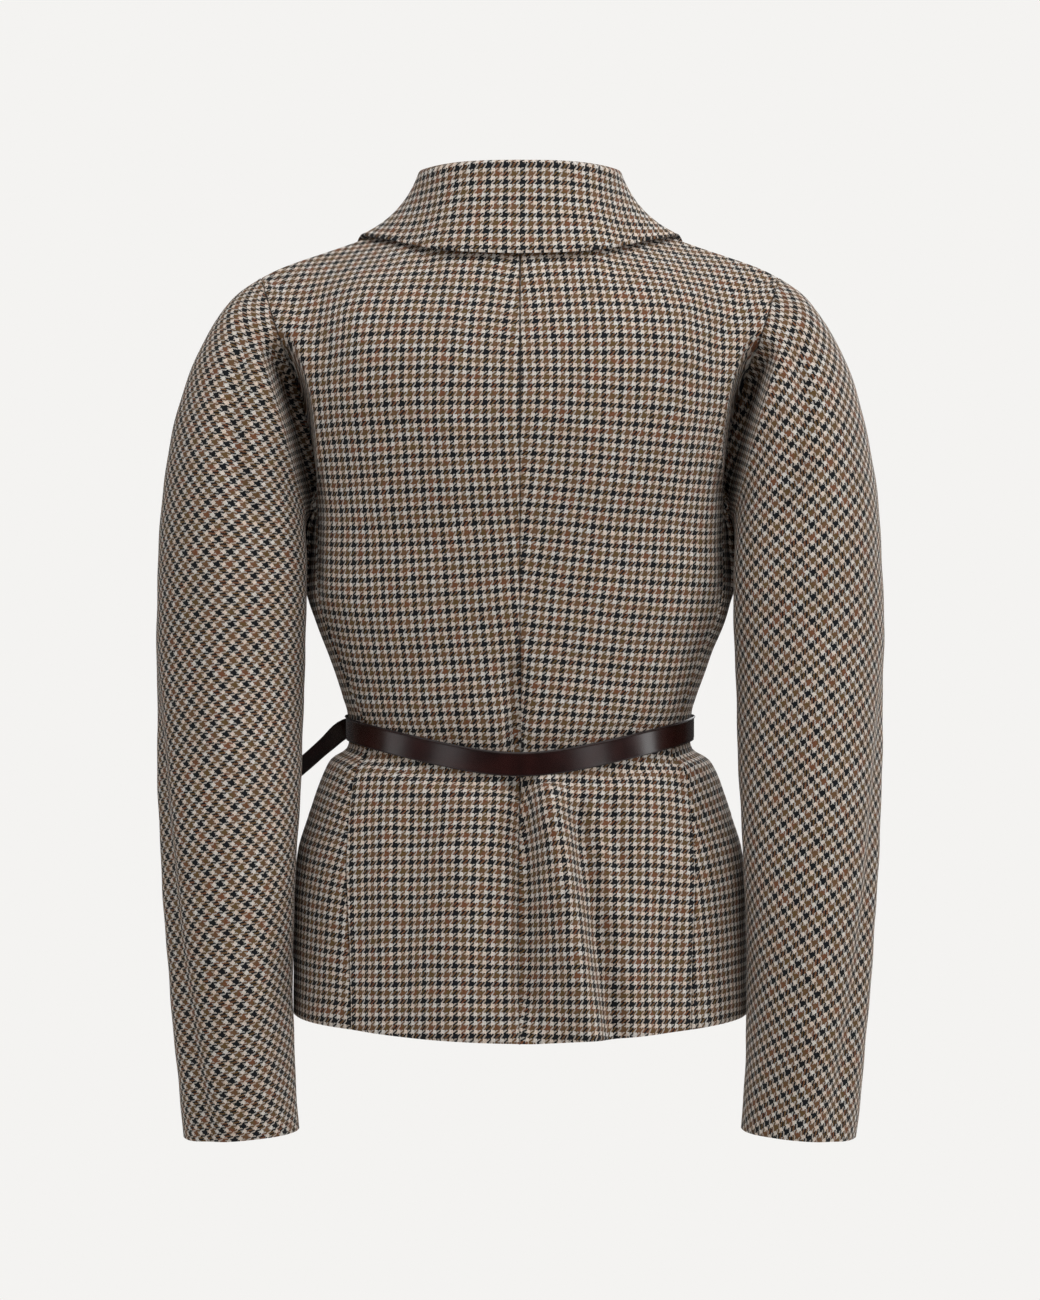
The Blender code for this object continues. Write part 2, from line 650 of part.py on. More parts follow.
def shared_normals(grids, normals):
    """Gives points that meet in a seam the same normal, so the walls meet without crossing."""
    body = {}
    for name, grid in grids.items():
        if name.startswith("sleeve"):
            continue
        for point, normal in zip(grid.reshape(-1, 3), normals[name].reshape(-1, 3)):
            key = place_key(point)
            body[key] = body.get(key, 0) + normal
    body = {key: normal / np.linalg.norm(normal) for key, normal in body.items()}
    for name, grid in grids.items():
        if not name.startswith("sleeve"):
            continue
        for j in range(grid.shape[1]):
            key = place_key(grid[0, j])
            if key in body:
                both = body[key] + normals[name][0, j]
                body[key] = both / np.linalg.norm(both)
    shared = {}
    for name, grid in grids.items():
        flat = normals[name].reshape(-1, 3).copy()
        for k, point in enumerate(grid.reshape(-1, 3)):
            if not name.startswith("sleeve") or k < grid.shape[1]:
                flat[k] = body.get(place_key(point), flat[k])
        shared[name] = flat.reshape(grid.shape)
    return shared


def cloth_grids():
    """The outside of every body panel and sleeve, and the normals."""
    grids, normals = {}, {}
    for side, word in ((1, "left"), (-1, "right")):
        for panel in ("back", "side", "front"):
            r, u = np.meshgrid(panel_rows(), panel_columns(panel), indexing="ij")
            grids[f"{panel}_{word}"] = body_point(panel, side, u, r)
            normals[f"{panel}_{word}"] = body_normal(panel, side, u, r)
        places = np.linspace(0, 1, SLEEVE_ROWS) ** 1.05 * len(SLEEVE_RINGS)
        v, angle = np.meshgrid(places, sleeve_turns(), indexing="ij")
        grids[f"sleeve_{word}"] = sleeve_point(side, v, angle)
        normals[f"sleeve_{word}"] = sleeve_normal(side, v, angle)
    return grids, shared_normals(grids, normals)


SEAMS = {
    "back": ("first_column", "last_column", "first_row"),
    "side": ("first_column", "last_column", "first_row"),
    "front": ("first_column", "first_row"),
    "sleeve": ("first_row",),
}


def rest_on_body(panel, x, z):
    """Where the plain body passes through (x, z), found by Newton steps from the nearest grid point."""
    r, u = np.meshgrid(np.linspace(0.02, 2, 60), np.linspace(0, 1, 60), indexing="ij")
    grid = plain_point(panel, u, r)
    best = np.argmin((grid[..., 0] - x) ** 2 + (grid[..., 2] - z) ** 2)
    at = np.array([u.flat[best], r.flat[best]])
    for _ in range(12):
        here = plain_point(panel, at[0], at[1])
        miss = np.array([x - here[0], z - here[2]])
        du = (plain_point(panel, at[0] + 1e-3, at[1]) - here)[[0, 2]] / 1e-3
        dr = (plain_point(panel, at[0], at[1] + 1e-3) - here)[[0, 2]] / 1e-3
        move = np.linalg.solve(np.stack([du, dr], 1), miss)
        at = np.clip(at + np.clip(move, -0.05, 0.05), (0.0, 0.0), (1.0, 2.0))
    return plain_point(panel, at[0], at[1]), plain_normal(panel, at[0], at[1])


def collar_middle():
    """The middle surface of the collar's left half: one row a section, from the stand's foot to the fall's edge."""
    necks, rolls, edges, outs, sags = [], [], [], [], []
    for row in COLLAR_SECTIONS:
        row = dict(zip(COLLAR_COLUMNS, row))
        neck = back_neck(np.array(row["neck"])) if row["panel"] == "back" else front_neck(np.array(row["neck"]))
        place, normal = rest_on_body(row["panel"], row["edge_x"], row["edge_z"])
        necks.append(neck)
        rolls.append((row["roll_x"], row["roll_y"], row["roll_z"]))
        edges.append(place + normal * COLLAR_CLEARANCE)
        sags.append(row["sag"])
    at = np.linspace(0, len(COLLAR_SECTIONS) - 1, COLLAR_SPANS + 1)
    necks, rolls, edges, sags = (through(np.array(v), at) for v in (necks, rolls, edges, sags))
    along = np.gradient(rolls, axis=0)
    along[0] = (1, 0, 0)
    rows = []
    for neck, roll, edge, way, sag in zip(necks, rolls, edges, along, sags):
        way = way / np.linalg.norm(way)
        up = roll - (neck + edge) / 2
        up = up - way * up.dot(way)
        up = up / np.linalg.norm(up)
        out = np.cross(up, way)
        out = out * np.sign(out.dot(edge - neck))
        centre = roll - up * COLLAR_ROLL_RADIUS
        inner, outer = centre - out * COLLAR_ROLL_RADIUS, centre + out * COLLAR_ROLL_RADIUS
        foot = neck + (inner - neck) / np.linalg.norm(inner - neck) * 0.0027
        points = [mix(foot, inner, t) for t in STAND_STEPS]
        for turn in np.radians((0, 45, 90, 135, 180)):
            points.append(centre - out * COLLAR_ROLL_RADIUS * np.cos(turn) + up * COLLAR_ROLL_RADIUS * np.sin(turn))
        fall = edge - outer
        dip = np.cross(way, fall)
        dip = dip / np.linalg.norm(dip)
        dip = dip * -np.sign(dip.dot(up))
        middle = (outer + edge) / 2 + dip * 2 * sag
        for t in FALL_STEPS:
            points.append(outer * (1 - t) ** 2 + middle * 2 * t * (1 - t) + edge * t * t)
        rows.append(points)
    return np.array(rows)


def grid_normals(grid):
    n = np.cross(np.gradient(grid, axis=1), np.gradient(grid, axis=0))
    return n / np.linalg.norm(n, axis=-1)[..., None]


def make_collar():
    half = collar_middle()
    whole = np.concatenate([half[:0:-1] * np.array([-1, 1, 1]), half])
    normal = grid_normals(whole)
    wall("collar", whole + normal * COLLAR_CLOTH / 2, whole - normal * COLLAR_CLOTH / 2, False, False)


def belt_place(turn, lift):
    """A point of the belt line at a turn (degrees from the centre back) and a lift off the cloth, and the outward way."""
    turn = math.radians(turn)
    place = np.mean([ring_point(level, np.array(turn)) for level in BELT_LEVELS], 0)
    step = np.mean([ring_point(level, np.array(turn + 1e-3)) for level in BELT_LEVELS], 0) - place
    out = np.array([step[1], -step[0], 0.0])
    out = out / np.linalg.norm(out)
    out = out * np.sign(out[:2].dot(place[:2]))
    return place + out * lift, out


def belt_line():
    """The strap's middle line, the twist at each point and the width there."""
    points = [belt_place(*row)[0] for row in BELT_FOLD]
    centre, out = belt_place(180.0, BUCKLE_LIFT)
    for turn in np.radians((-50, 0, 50)):
        points.append(centre + np.array([-math.cos(turn), 0, 0]) * LOOP_RADIUS + out * LOOP_RADIUS * math.sin(turn))
    for (turn, lift), (next_turn, next_lift) in zip(BELT_PATH, BELT_PATH[1:]):
        spans = max(1, round(abs(next_turn - turn) / BELT_STEP))
        for k in range(spans):
            points.append(belt_place(mix(turn, next_turn, k / spans), mix(lift, next_lift, k / spans))[0])
    points.append(belt_place(*BELT_PATH[-1])[0])
    twists = [0.0] * len(points) + [row[3] for row in TAIL]
    widths = [1.0] * len(points) + list(TAIL_WIDTHS)
    points += [np.array(row[:3]) for row in TAIL]
    return np.array(points), np.radians(twists), np.array(widths)


def strap(name, points, widths_up, half_width, half_thick, colour):
    """A flat strap along points. widths_up gives each point's way across the strap."""
    count = len(points)
    ways = np.gradient(points, axis=0)
    first = points[1] - points[0]
    last = points[-1] - points[-2]
    ways[0], ways[-1] = first, last
    corners = []
    for point, way, up, half in zip(points, ways, widths_up, half_width):
        way = way / np.linalg.norm(way)
        up = up - way * up.dot(way)
        up = up / np.linalg.norm(up)
        out = np.cross(way, up)
        for a, b in ((1, 1), (-1, 1), (-1, -1), (1, -1)):
            corners.append(point + up * a * half + out * b * half_thick)
    faces = [(3, 2, 1, 0)]
    for i in range(count - 1):
        for k in range(4):
            a, b = 4 * i + k, 4 * i + (k + 1) % 4
            faces.append((a, b, b + 4, a + 4))
    faces.append(tuple(4 * (count - 1) + k for k in range(4)))
    return add_object(name, np.array(corners), faces, colour, roughness=0.45)


def make_belt():
    points, twists, widths = belt_line()
    ways = np.gradient(points, axis=0)
    ups = []
    for way, twist in zip(ways, twists):
        way = way / np.linalg.norm(way)
        up = np.array([0, 0, 1.0])
        up = up - way * up.dot(way)
        up = up / np.linalg.norm(up)
        ups.append(up * math.cos(twist) + np.cross(way, up) * math.sin(twist))
    strap("belt", points, ups, widths * STRAP_WIDTH / 2, STRAP / 2, LEATHER)


def bar_ring(name, corners, radius, sides, colour):
    """A closed ring of round bar through flat corners."""
    corners = np.array(corners)
    count = len(corners)
    centre = corners.mean(0)
    flat = np.cross(corners[1] - corners[0], corners[2] - corners[1])
    flat = flat / np.linalg.norm(flat)
    points, faces = [], []
    for corner in corners:
        out = corner - centre
        out = np.array([np.sign(out[0]), 0, np.sign(out[2])])
        for k in range(sides):
            turn = 2 * math.pi * (k + 0.5) / sides
            points.append(corner + out * radius * math.cos(turn) + flat * radius * math.sin(turn))
    for i in range(count):
        for k in range(sides):
            a, b = i * sides + k, i * sides + (k + 1) % sides
            c, d = ((i + 1) % count) * sides + (k + 1) % sides, ((i + 1) % count) * sides + k
            faces.append((a, b, c, d))
    return add_object(name, points, faces, colour, metallic=1.0, roughness=0.3)


def make_buckle():
    centre, _ = belt_place(180.0, BUCKLE_LIFT)
    a, b = BUCKLE_HALF_LENGTH, BUCKLE_HALF_HEIGHT
    offsets = ((-a, -b), (-a, b), (a, b), (a, -b))
    frame = bar_ring("buckle", [centre + np.array([x, 0, z]) for x, z in offsets], BUCKLE_BAR, 8, BRASS)
    bpy.ops.mesh.primitive_cylinder_add(vertices=8, radius=BUCKLE_BAR, depth=2 * b, location=tuple(centre))
    bar = bpy.context.object
    join = frame.modifiers.new("bar", "BOOLEAN")
    join.operation, join.solver, join.object = "UNION", "EXACT", bar
    bpy.context.view_layer.objects.active = frame
    bpy.ops.object.modifier_apply(modifier="bar")
    bpy.data.objects.remove(bar)


def make_keeper():
    """The leather loop round the two layers of strap, left of the buckle."""
    middle, out = belt_place(KEEPER_TURN, 0.0052)
    along = np.cross(out, (0, 0, 1.0))
    up = np.array([0, 0, 1.0])
    half_out, half_up = 0.0031, STRAP_WIDTH / 2 + 0.0012
    points, faces = [], []
    for w in (-1, 1):
        for grow in (0, KEEPER):
            for a, b in ((1, 1), (1, -1), (-1, -1), (-1, 1)):
                points.append(
                    middle + along * w * KEEPER_WIDTH / 2 + out * a * (half_out + grow) + up * b * (half_up + grow)
                )
    for k in range(4):
        m = (k + 1) % 4
        faces.append((4 + k, 4 + m, 12 + m, 12 + k))
        faces.append((8 + k, 8 + m, m, k))
        faces.append((k, m, 4 + m, 4 + k))
        faces.append((12 + k, 12 + m, 8 + m, 8 + k))
    add_object("belt_keeper", points, [face[::-1] for face in faces], LEATHER, roughness=0.45)


def main():
    for thing in list(bpy.data.objects):
        bpy.data.objects.remove(thing)
    grids, normals = cloth_grids()
    for name, outside in grids.items():
        kind, word = name.split("_")
        inside = outside - CLOTH * normals[name]
        outside = pulled_in(outside, SEAMS[kind], SEAM_GAP / 2)
        inside = pulled_in(inside, SEAMS[kind], SEAM_GAP / 2)
        wall(name, outside, inside, kind == "sleeve", (word == "right") != (kind == "sleeve"))
    make_collar()
    make_belt()
    make_buckle()
    make_keeper()


main()
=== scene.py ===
"""The finished look of a belted houndstooth jacket: wool panels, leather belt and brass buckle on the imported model."""

import functools
import math

import bmesh
import bpy
import numpy as np
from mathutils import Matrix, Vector


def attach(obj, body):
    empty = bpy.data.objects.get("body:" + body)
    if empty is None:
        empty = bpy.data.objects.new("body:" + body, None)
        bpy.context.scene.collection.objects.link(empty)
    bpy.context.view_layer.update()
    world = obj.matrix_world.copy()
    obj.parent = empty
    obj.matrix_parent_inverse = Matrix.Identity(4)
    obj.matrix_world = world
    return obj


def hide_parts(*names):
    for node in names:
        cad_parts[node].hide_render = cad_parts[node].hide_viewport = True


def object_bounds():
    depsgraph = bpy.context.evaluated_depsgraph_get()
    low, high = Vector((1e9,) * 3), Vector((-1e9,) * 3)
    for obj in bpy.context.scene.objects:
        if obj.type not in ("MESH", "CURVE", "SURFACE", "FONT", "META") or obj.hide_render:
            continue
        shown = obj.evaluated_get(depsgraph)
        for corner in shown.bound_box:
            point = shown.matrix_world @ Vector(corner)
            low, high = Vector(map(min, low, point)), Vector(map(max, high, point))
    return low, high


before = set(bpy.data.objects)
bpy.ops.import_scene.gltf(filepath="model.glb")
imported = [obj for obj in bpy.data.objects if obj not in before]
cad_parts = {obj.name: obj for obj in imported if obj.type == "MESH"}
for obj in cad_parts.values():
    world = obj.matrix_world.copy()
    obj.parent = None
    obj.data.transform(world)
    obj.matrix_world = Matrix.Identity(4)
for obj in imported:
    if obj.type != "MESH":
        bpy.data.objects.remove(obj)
CAD_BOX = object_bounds()

bl_info = {
    "name": "Belted houndstooth jacket",
    "version": (1, 0, 0),
    "blender": (4, 5, 0),
    "location": "3D View > Sidebar > Jacket",
    "description": "Makes the jacket's cloth panels, collar, sleeves, leather belt and buckle, and a studio for them",
    "category": "Add Mesh",
}

CAMERA_DISTANCE = 3.9
FRAME_HALF_WIDTH = 0.494
SENSOR_WIDTH = 36.0
SHARP_ANGLE = 55
WEAVE_MAP = "Weave"
STRAP_MAP = "Strap"

# Body sections from under the armholes to the hem. side_back and side_front are the side panel's seams, in degrees
# round from the centre back.
RING_COLUMNS = ("side_z", "back_z", "front_z", "half_width", "back_depth", "front_depth", "side_back", "side_front")
RINGS = (
    (-0.236, -0.236, -0.236, 0.1590, 0.1120, 0.1230, 77.0, 104.0),
    (-0.284, -0.286, -0.285, 0.1605, 0.1080, 0.1190, 75.5, 106.0),
    (-0.330, -0.336, -0.332, 0.1445, 0.1040, 0.1080, 73.0, 109.0),
    (-0.360, -0.378, -0.366, 0.1345, 0.1000, 0.0985, 70.5, 112.0),
    (-0.3745, -0.3975, -0.3830, 0.1305, 0.0930, 0.0940, 68.5, 114.0),
    (-0.3985, -0.4215, -0.4070, 0.1305, 0.0930, 0.0940, 67.0, 115.0),
    (-0.410, -0.433, -0.420, 0.1450, 0.1010, 0.1010, 64.5, 117.0),
    (-0.440, -0.463, -0.450, 0.1575, 0.1085, 0.1080, 61.5, 119.0),
    (-0.480, -0.500, -0.488, 0.1695, 0.1160, 0.1150, 58.5, 120.0),
    (-0.530, -0.547, -0.536, 0.1725, 0.1230, 0.1215, 56.0, 121.0),
    (-0.600, -0.6100, -0.606, 0.1725, 0.1300, 0.1280, 54.0, 122.0),
)
# How far past the centre front each front reaches, and how square a section is: an ellipse has 2
WRAP = 0.045
SQUARENESS = 2.25

# Neckline and shoulders
NECK_BACK = (0.0, 0.060, -0.005)
NECK_SIDE = (0.072, 0.000, 0.004)
SHOULDER_TIP = (0.196, 0.003, -0.0425)
SHOULDER_BOW = 0.028
FRONT_NECK = (
    (0.072, 0.000, 0.004),
    (0.066, -0.034, -0.016),
    (0.050, -0.064, -0.046),
    (0.026, -0.086, -0.080),
    (-0.006, -0.101, -0.110),
    (-0.045, -0.106, -0.132),
)

# Level sections of the chest and the upper back: height, half width and depth
CHEST = (
    (-0.0300, 0.200, 0.052),
    (-0.0550, 0.190, 0.073),
    (-0.0800, 0.182, 0.089),
    (-0.1100, 0.173, 0.104),
    (-0.1450, 0.165, 0.1150),
    (-0.1900, 0.160, 0.1215),
    (-0.2360, 0.1590, 0.1230),
    (-0.2850, 0.1605, 0.1190),
)
UPPER_BACK = (
    (0.0040, 0.075, 0.056),
    (-0.0200, 0.140, 0.0720),
    (-0.0425, 0.196, 0.0860),
    (-0.0700, 0.201, 0.1000),
    (-0.1000, 0.194, 0.1110),
    (-0.1400, 0.180, 0.1180),
    (-0.1900, 0.166, 0.1170),
    (-0.2360, 0.1590, 0.1120),
    (-0.2850, 0.1605, 0.1080),
)

# The armhole, from the shoulder tip by the back, the armpit and the front: degrees, x, y, z
ARMHOLE = (
    (0, 0.1960, 0.003, -0.0425),
    (40, 0.1850, 0.0435, -0.0750),
    (75, 0.1715, 0.0550, -0.1150),
    (105, 0.1620, 0.0550, -0.1500),
    (135, 0.1550, 0.0410, -0.1860),
    (160, 0.1520, 0.018, -0.2050),
    (180, 0.1515, 0.000, -0.2100),
    (200, 0.1520, -0.018, -0.2050),
    (225, 0.1545, -0.040, -0.1840),
    (255, 0.1600, -0.056, -0.1450),
    (285, 0.1705, -0.054, -0.1100),
    (320, 0.1850, -0.0400, -0.0730),
    (360, 0.1960, 0.003, -0.0425),
)
ARMHOLE_AT_SIDE_BACK = 142.0
ARMHOLE_AT_SIDE_FRONT = 218.0
UNDERARM = 180.0

# Where a panel's top edge turns its corners, as shares of its width, and how far the cloth below them is eased
CORNER_EASE = 0.06
BACK_NECK_SHARE = 0.24
BACK_SHOULDER_SHARE = 0.58
FRONT_SHOULDER_SHARE = 0.32
FRONT_NECK_SHARE = 0.58

# The way the cloth leaves a top edge, per metre of drop to the first ring: share across the panel, then x, y, z
BACK_LEAVES = (
    (0.00, 0.00, 0.75, -0.80),
    (0.24, 0.10, 1.10, -0.55),
    (0.46, -0.20, 1.05, -0.45),
    (0.58, -0.60, 0.85, -0.30),
    (0.70, -0.65, 0.60, -0.50),
    (0.82, -0.55, 0.25, -0.75),
    (0.92, -0.25, 0.10, -0.95),
    (1.00, 0.05, 0.03, -1.00),
)
SIDE_LEAVES = (
    (0.00, 0.05, 0.03, -1.00),
    (1.00, 0.05, -0.03, -1.00),
)
FRONT_LEAVES = (
    (0.00, 0.05, -0.03, -1.00),
    (0.07, -0.25, -0.12, -0.95),
    (0.15, -0.50, -0.35, -0.75),
    (0.24, -0.60, -0.60, -0.50),
    (0.32, -0.60, -0.85, -0.35),
    (0.42, -0.20, -1.00, -0.50),
    (0.58, 0.10, -1.05, -0.65),
    (0.75, 0.00, -0.45, -0.95),
    (1.00, 0.00, -0.45, -0.95),
)

# Sleeve sections after the armhole, each a tilted ring from its outer point to its inner point
SLEEVE_COLUMNS = ("outer_x", "outer_z", "inner_x", "inner_z", "middle_y", "half_depth", "lean")
SLEEVE_RINGS = (
    (0.2190, -0.0605, 0.1600, -0.2240, 0.004, 0.0660, 0.000),
    (0.2432, -0.0990, 0.1628, -0.2400, 0.006, 0.0720, 0.005),
    (0.2588, -0.1440, 0.1630, -0.2600, 0.009, 0.0745, 0.008),
    (0.2683, -0.1900, 0.1630, -0.2810, 0.012, 0.0745, 0.009),
    (0.2727, -0.2350, 0.1630, -0.3050, 0.016, 0.0735, 0.008),
    (0.2748, -0.2900, 0.1635, -0.3360, 0.019, 0.0715, 0.006),
    (0.2746, -0.3500, 0.1640, -0.3720, 0.024, 0.0690, 0.004),
    (0.2738, -0.4100, 0.1650, -0.4160, 0.031, 0.0660, 0.003),
    (0.2712, -0.4700, 0.1675, -0.4700, 0.038, 0.0630, 0.003),
    (0.2675, -0.5300, 0.1700, -0.5270, 0.043, 0.0600, 0.002),
    (0.2628, -0.5900, 0.1710, -0.5840, 0.043, 0.0570, 0.000),
    (0.2582, -0.6450, 0.1700, -0.6380, 0.038, 0.0545, 0.000),
    (0.2542, -0.6915, 0.1672, -0.6855, 0.032, 0.0520, 0.000),
)

# Soft folds of the body: start (x, z), end (x, z), half width, height (a trough is negative) and fade at the ends
BACK_FOLDS = (
    (0.003, -0.330, 0.003, -0.398, 0.007, -0.0090, 0.030),
    (-0.001, -0.418, -0.008, -0.600, 0.009, -0.0125, 0.050),
    (-0.021, -0.425, -0.058, -0.660, 0.014, 0.0155, 0.036),
    (-0.041, -0.435, -0.080, -0.660, 0.009, -0.0105, 0.044),
    (-0.062, -0.425, -0.077, -0.490, 0.009, -0.0050, 0.030),
    (0.040, -0.450, 0.055, -0.640, 0.024, 0.0055, 0.070),
    (0.078, -0.440, 0.094, -0.600, 0.014, -0.0045, 0.070),
    (-0.108, -0.500, -0.118, -0.640, 0.016, -0.0045, 0.060),
    (0.116, -0.470, 0.128, -0.640, 0.016, -0.0045, 0.060),
)
FRONT_FOLDS = (
    (0.050, -0.430, 0.066, -0.640, 0.018, -0.0055, 0.060),
    (0.085, -0.450, 0.105, -0.640, 0.018, 0.0050, 0.060),
    (-0.060, -0.430, -0.078, -0.640, 0.019, -0.0060, 0.060),
    (-0.095, -0.450, -0.118, -0.640, 0.018, 0.0050, 0.060),
    (0.060, -0.300, 0.045, -0.385, 0.012, -0.0045, 0.035),
    (-0.055, -0.300, -0.042, -0.385, 0.012, -0.0045, 0.035),
)
# Finer creases, in the same columns
BACK_CREASES = (
    (0.002, -0.366, 0.005, -0.400, 0.0030, -0.0022, 0.014),
    (-0.0435, -0.378, -0.0445, -0.400, 0.0030, -0.0022, 0.012),
    (-0.036, -0.372, -0.037, -0.396, 0.0040, 0.0012, 0.014),
    (0.016, -0.366, 0.019, -0.394, 0.0050, 0.0012, 0.016),
    (0.048, -0.376, 0.050, -0.398, 0.0045, -0.0012, 0.014),
    (-0.080, -0.366, -0.078, -0.392, 0.0050, -0.0013, 0.014),
    (0.012, -0.424, 0.010, -0.470, 0.0040, -0.0012, 0.020),
    (-0.046, -0.424, -0.050, -0.470, 0.0040, -0.0014, 0.020),
    (0.062, -0.416, 0.068, -0.470, 0.0050, -0.0013, 0.024),
)
FRONT_CREASES = (
    (0.030, -0.366, 0.028, -0.392, 0.0035, -0.0016, 0.014),
    (-0.028, -0.362, -0.030, -0.392, 0.0040, -0.0016, 0.014),
    (0.088, -0.356, 0.086, -0.388, 0.0045, -0.0012, 0.014),
    (-0.086, -0.358, -0.083, -0.388, 0.0045, -0.0012, 0.014),
    (0.024, -0.412, 0.030, -0.460, 0.0045, -0.0013, 0.020),
    (-0.034, -0.412, -0.040, -0.460, 0.0045, -0.0013, 0.020),
)

# Soft folds of a sleeve: section and degrees at the start and the end, half width, height and fade. The radius
# turns degrees into metres round the sleeve.
SLEEVE_FOLDS = (
    (7.2, 14.0, 12.9, 57.0, 0.0120, -0.0055, 1.6),
    (0.7, 50.0, 3.4, 104.0, 0.0095, -0.0070, 1.0),
    (6.5, 330.0, 9.6, 300.0, 0.0140, -0.0045, 1.0),
)
SLEEVE_RADIUS = 0.055
# The deep valley between back and sleeve: its depth, where its slopes start and end away from the armhole, the
# degrees round the armhole where it starts, is full, fades and ends, and the share of its depth that is more cloth
VALLEY_DEPTH = 0.055
VALLEY_ON_BODY = (0.001, 0.013)
VALLEY_ON_SLEEVE = (0.010, 0.020)
VALLEY_TURNS = (48.0, 88.0, 150.0, 190.0)
VALLEY_CLOTH = 0.6
VALLEY_EASE_ROW = 8
INWARD = np.array([0, 1.0, 0])
# The side of the chest is fuller here, behind the sleeve: y, z, half width, half height and height
SIDE_FULLNESS = (-0.022, -0.242, 0.016, 0.040, 0.0078)
# The side falls away here, beside the sleeve: x where it starts and is full, heights where it starts and ends, depth
SIDE_HOLLOW = (0.1455, 0.1515, -0.180, -0.300, 0.030)
# The left front sinks under the right one by this, over this slope, from this far past the centre front
UNDERLAP_SINK = 0.0036
UNDERLAP_SLOPE = 0.026
UNDERLAP_START = 0.048

# The collar from the centre back to its front end: place on the neckline, top of the roll, and the fall's edge
COLLAR_COLUMNS = ("panel", "neck", "roll_x", "roll_y", "roll_z", "edge_x", "edge_z", "sag")
COLLAR_SECTIONS = (
    ("back", 0.000, 0.0000, 0.0600, 0.0415, 0.0000, -0.0290, 0.002),
    ("back", 0.250, 0.0260, 0.0570, 0.0413, 0.0300, -0.0283, 0.002),
    ("back", 0.500, 0.0470, 0.0475, 0.0403, 0.0600, -0.0258, 0.003),
    ("back", 0.720, 0.0605, 0.0330, 0.0388, 0.0870, -0.0205, 0.004),
    ("back", 0.900, 0.0685, 0.0160, 0.0373, 0.1080, -0.0160, 0.006),
    ("front", 0.001, 0.0700, 0.0000, 0.0365, 0.1195, -0.0155, 0.007),
    ("front", 0.120, 0.0680, -0.0155, 0.0320, 0.1235, -0.0340, 0.009),
    ("front", 0.260, 0.0640, -0.0330, 0.0200, 0.1190, -0.0580, 0.008),
    ("front", 0.400, 0.0570, -0.0500, 0.0040, 0.1080, -0.0830, 0.006),
    ("front", 0.530, 0.0460, -0.0670, -0.0150, 0.0920, -0.1080, 0.004),
    ("front", 0.640, 0.0310, -0.0820, -0.0360, 0.0740, -0.1280, 0.002),
    ("front", 0.731, 0.0110, -0.0960, -0.0600, 0.0540, -0.1420, 0.000),
)
COLLAR_ROLL_RADIUS = 0.0040
COLLAR_CLEARANCE = 0.0042
COLLAR_FOOT = 0.0027
COLLAR_SPANS = 100
STAND_ROWS = 16
ROLL_ROWS = 13
TOPSTITCH_IN = 0.0068
TOPSTITCH_DEPTH = 0.0026
TOPSTITCH_WIDTH = 0.0010
COLLAR_PLUMP = 0.0014

# How far a turned edge stands out past its cloth
EDGE_BULGE = 0.0009
COLLAR_EDGE_BULGE = 0.0012

# The belt lies between two body sections, a little above their middle. Its rows are degrees from the centre back and
# the lift from the cloth to the middle of the strap, and the tail's are x, y, z and the strap's twist in degrees.
STRAP_WIDTH = 0.018
BELT_RISE = 0.003
BELT_LEVELS = (4.0, 5.0)
BELT_FOLD = ((175.0, 0.0020), (177.0, 0.0030), (179.2, 0.0040))
BELT_PATH = (
    (180.0, 0.0088),
    (177.6, 0.0080),
    (174.6, 0.0050),
    (171.2, 0.0020),
    (168.0, 0.0017),
    (161.0, 0.0030),
    (156.0, 0.0040),
    (151.0, 0.0030),
    (145.0, 0.0017),
    (-166.0, 0.0017),
    (-170.2, 0.0028),
    (-173.5, 0.0055),
    (-177.0, 0.0098),
    (-180.0, 0.0112),
    (-183.0, 0.0100),
    (-186.4, 0.0066),
    (-189.6, 0.0042),
    (-196.0, 0.0044),
    (-204.0, 0.0064),
    (-212.0, 0.0050),
    (-220.0, 0.0042),
    (-225.0, 0.0042),
)
BELT_STEP = 7.0
TAIL = (
    (0.1120, -0.0735, -0.3885, 8.0),
    (0.1340, -0.0680, -0.3880, 38.0),
    (0.1500, -0.0645, -0.4005, 53.0),
    (0.1660, -0.0615, -0.4145, 55.0),
    (0.1860, -0.0575, -0.4310, 55.0),
    (0.2050, -0.0540, -0.4470, 55.0),
    (0.2120, -0.0527, -0.4530, 55.0),
)
TAIL_WIDTHS = (1.0, 1.0, 1.0, 1.0, 1.0, 1.0, 0.45)
BUCKLE_BAR = 0.0011
BUCKLE_LIFT = 0.0064
BUCKLE_HALF_LENGTH = 0.0160
BUCKLE_HALF_HEIGHT = 0.0110
BUCKLE_CORNER = 0.0030
LOOP_RADIUS = 0.0024
LOOP_TURN = 50
KEEPER_TURN = 156.0
KEEPER_LIFT = 0.0052
KEEPER_WIDTH = 0.006
KEEPER_THICKNESS = 0.0013
KEEPER_HALF_DEPTH = 0.0031
KEEPER_ROOM = 0.0012
KEEPER_CORNER = 0.0016

# Share of the check taken by the dark and brown yarns, how much longer than wide it is, and the gap at a seam
THICK_SHARE = 0.56
WEFT_STRETCH = 1.035
SEAM_GAP = 0.0004

# How finely the cloth is divided
ROWS_ABOVE = 64
ROW_HEIGHT = 0.0027
NECK_SPANS, SHOULDER_SPANS, ARMHOLE_SPANS, SIDE_SPANS, FRONT_NECK_SPANS = 12, 16, 34, 22, 18
SLEEVE_ROWS = 190
SEAM_STEPS = (0.0003, 0.0006, 0.0014)
PANEL_WIDTHS = {"back": 0.15, "side": 0.07, "front": 0.20}
TOP_STEPS = (0.0015, 0.0035, 0.006, 0.0095)
SLEEVE_TOP_STEPS = (0.012, 0.030, 0.055, 0.09)


COLOUR = {"subtype": "COLOR", "size": 3, "min": 0, "max": 1}


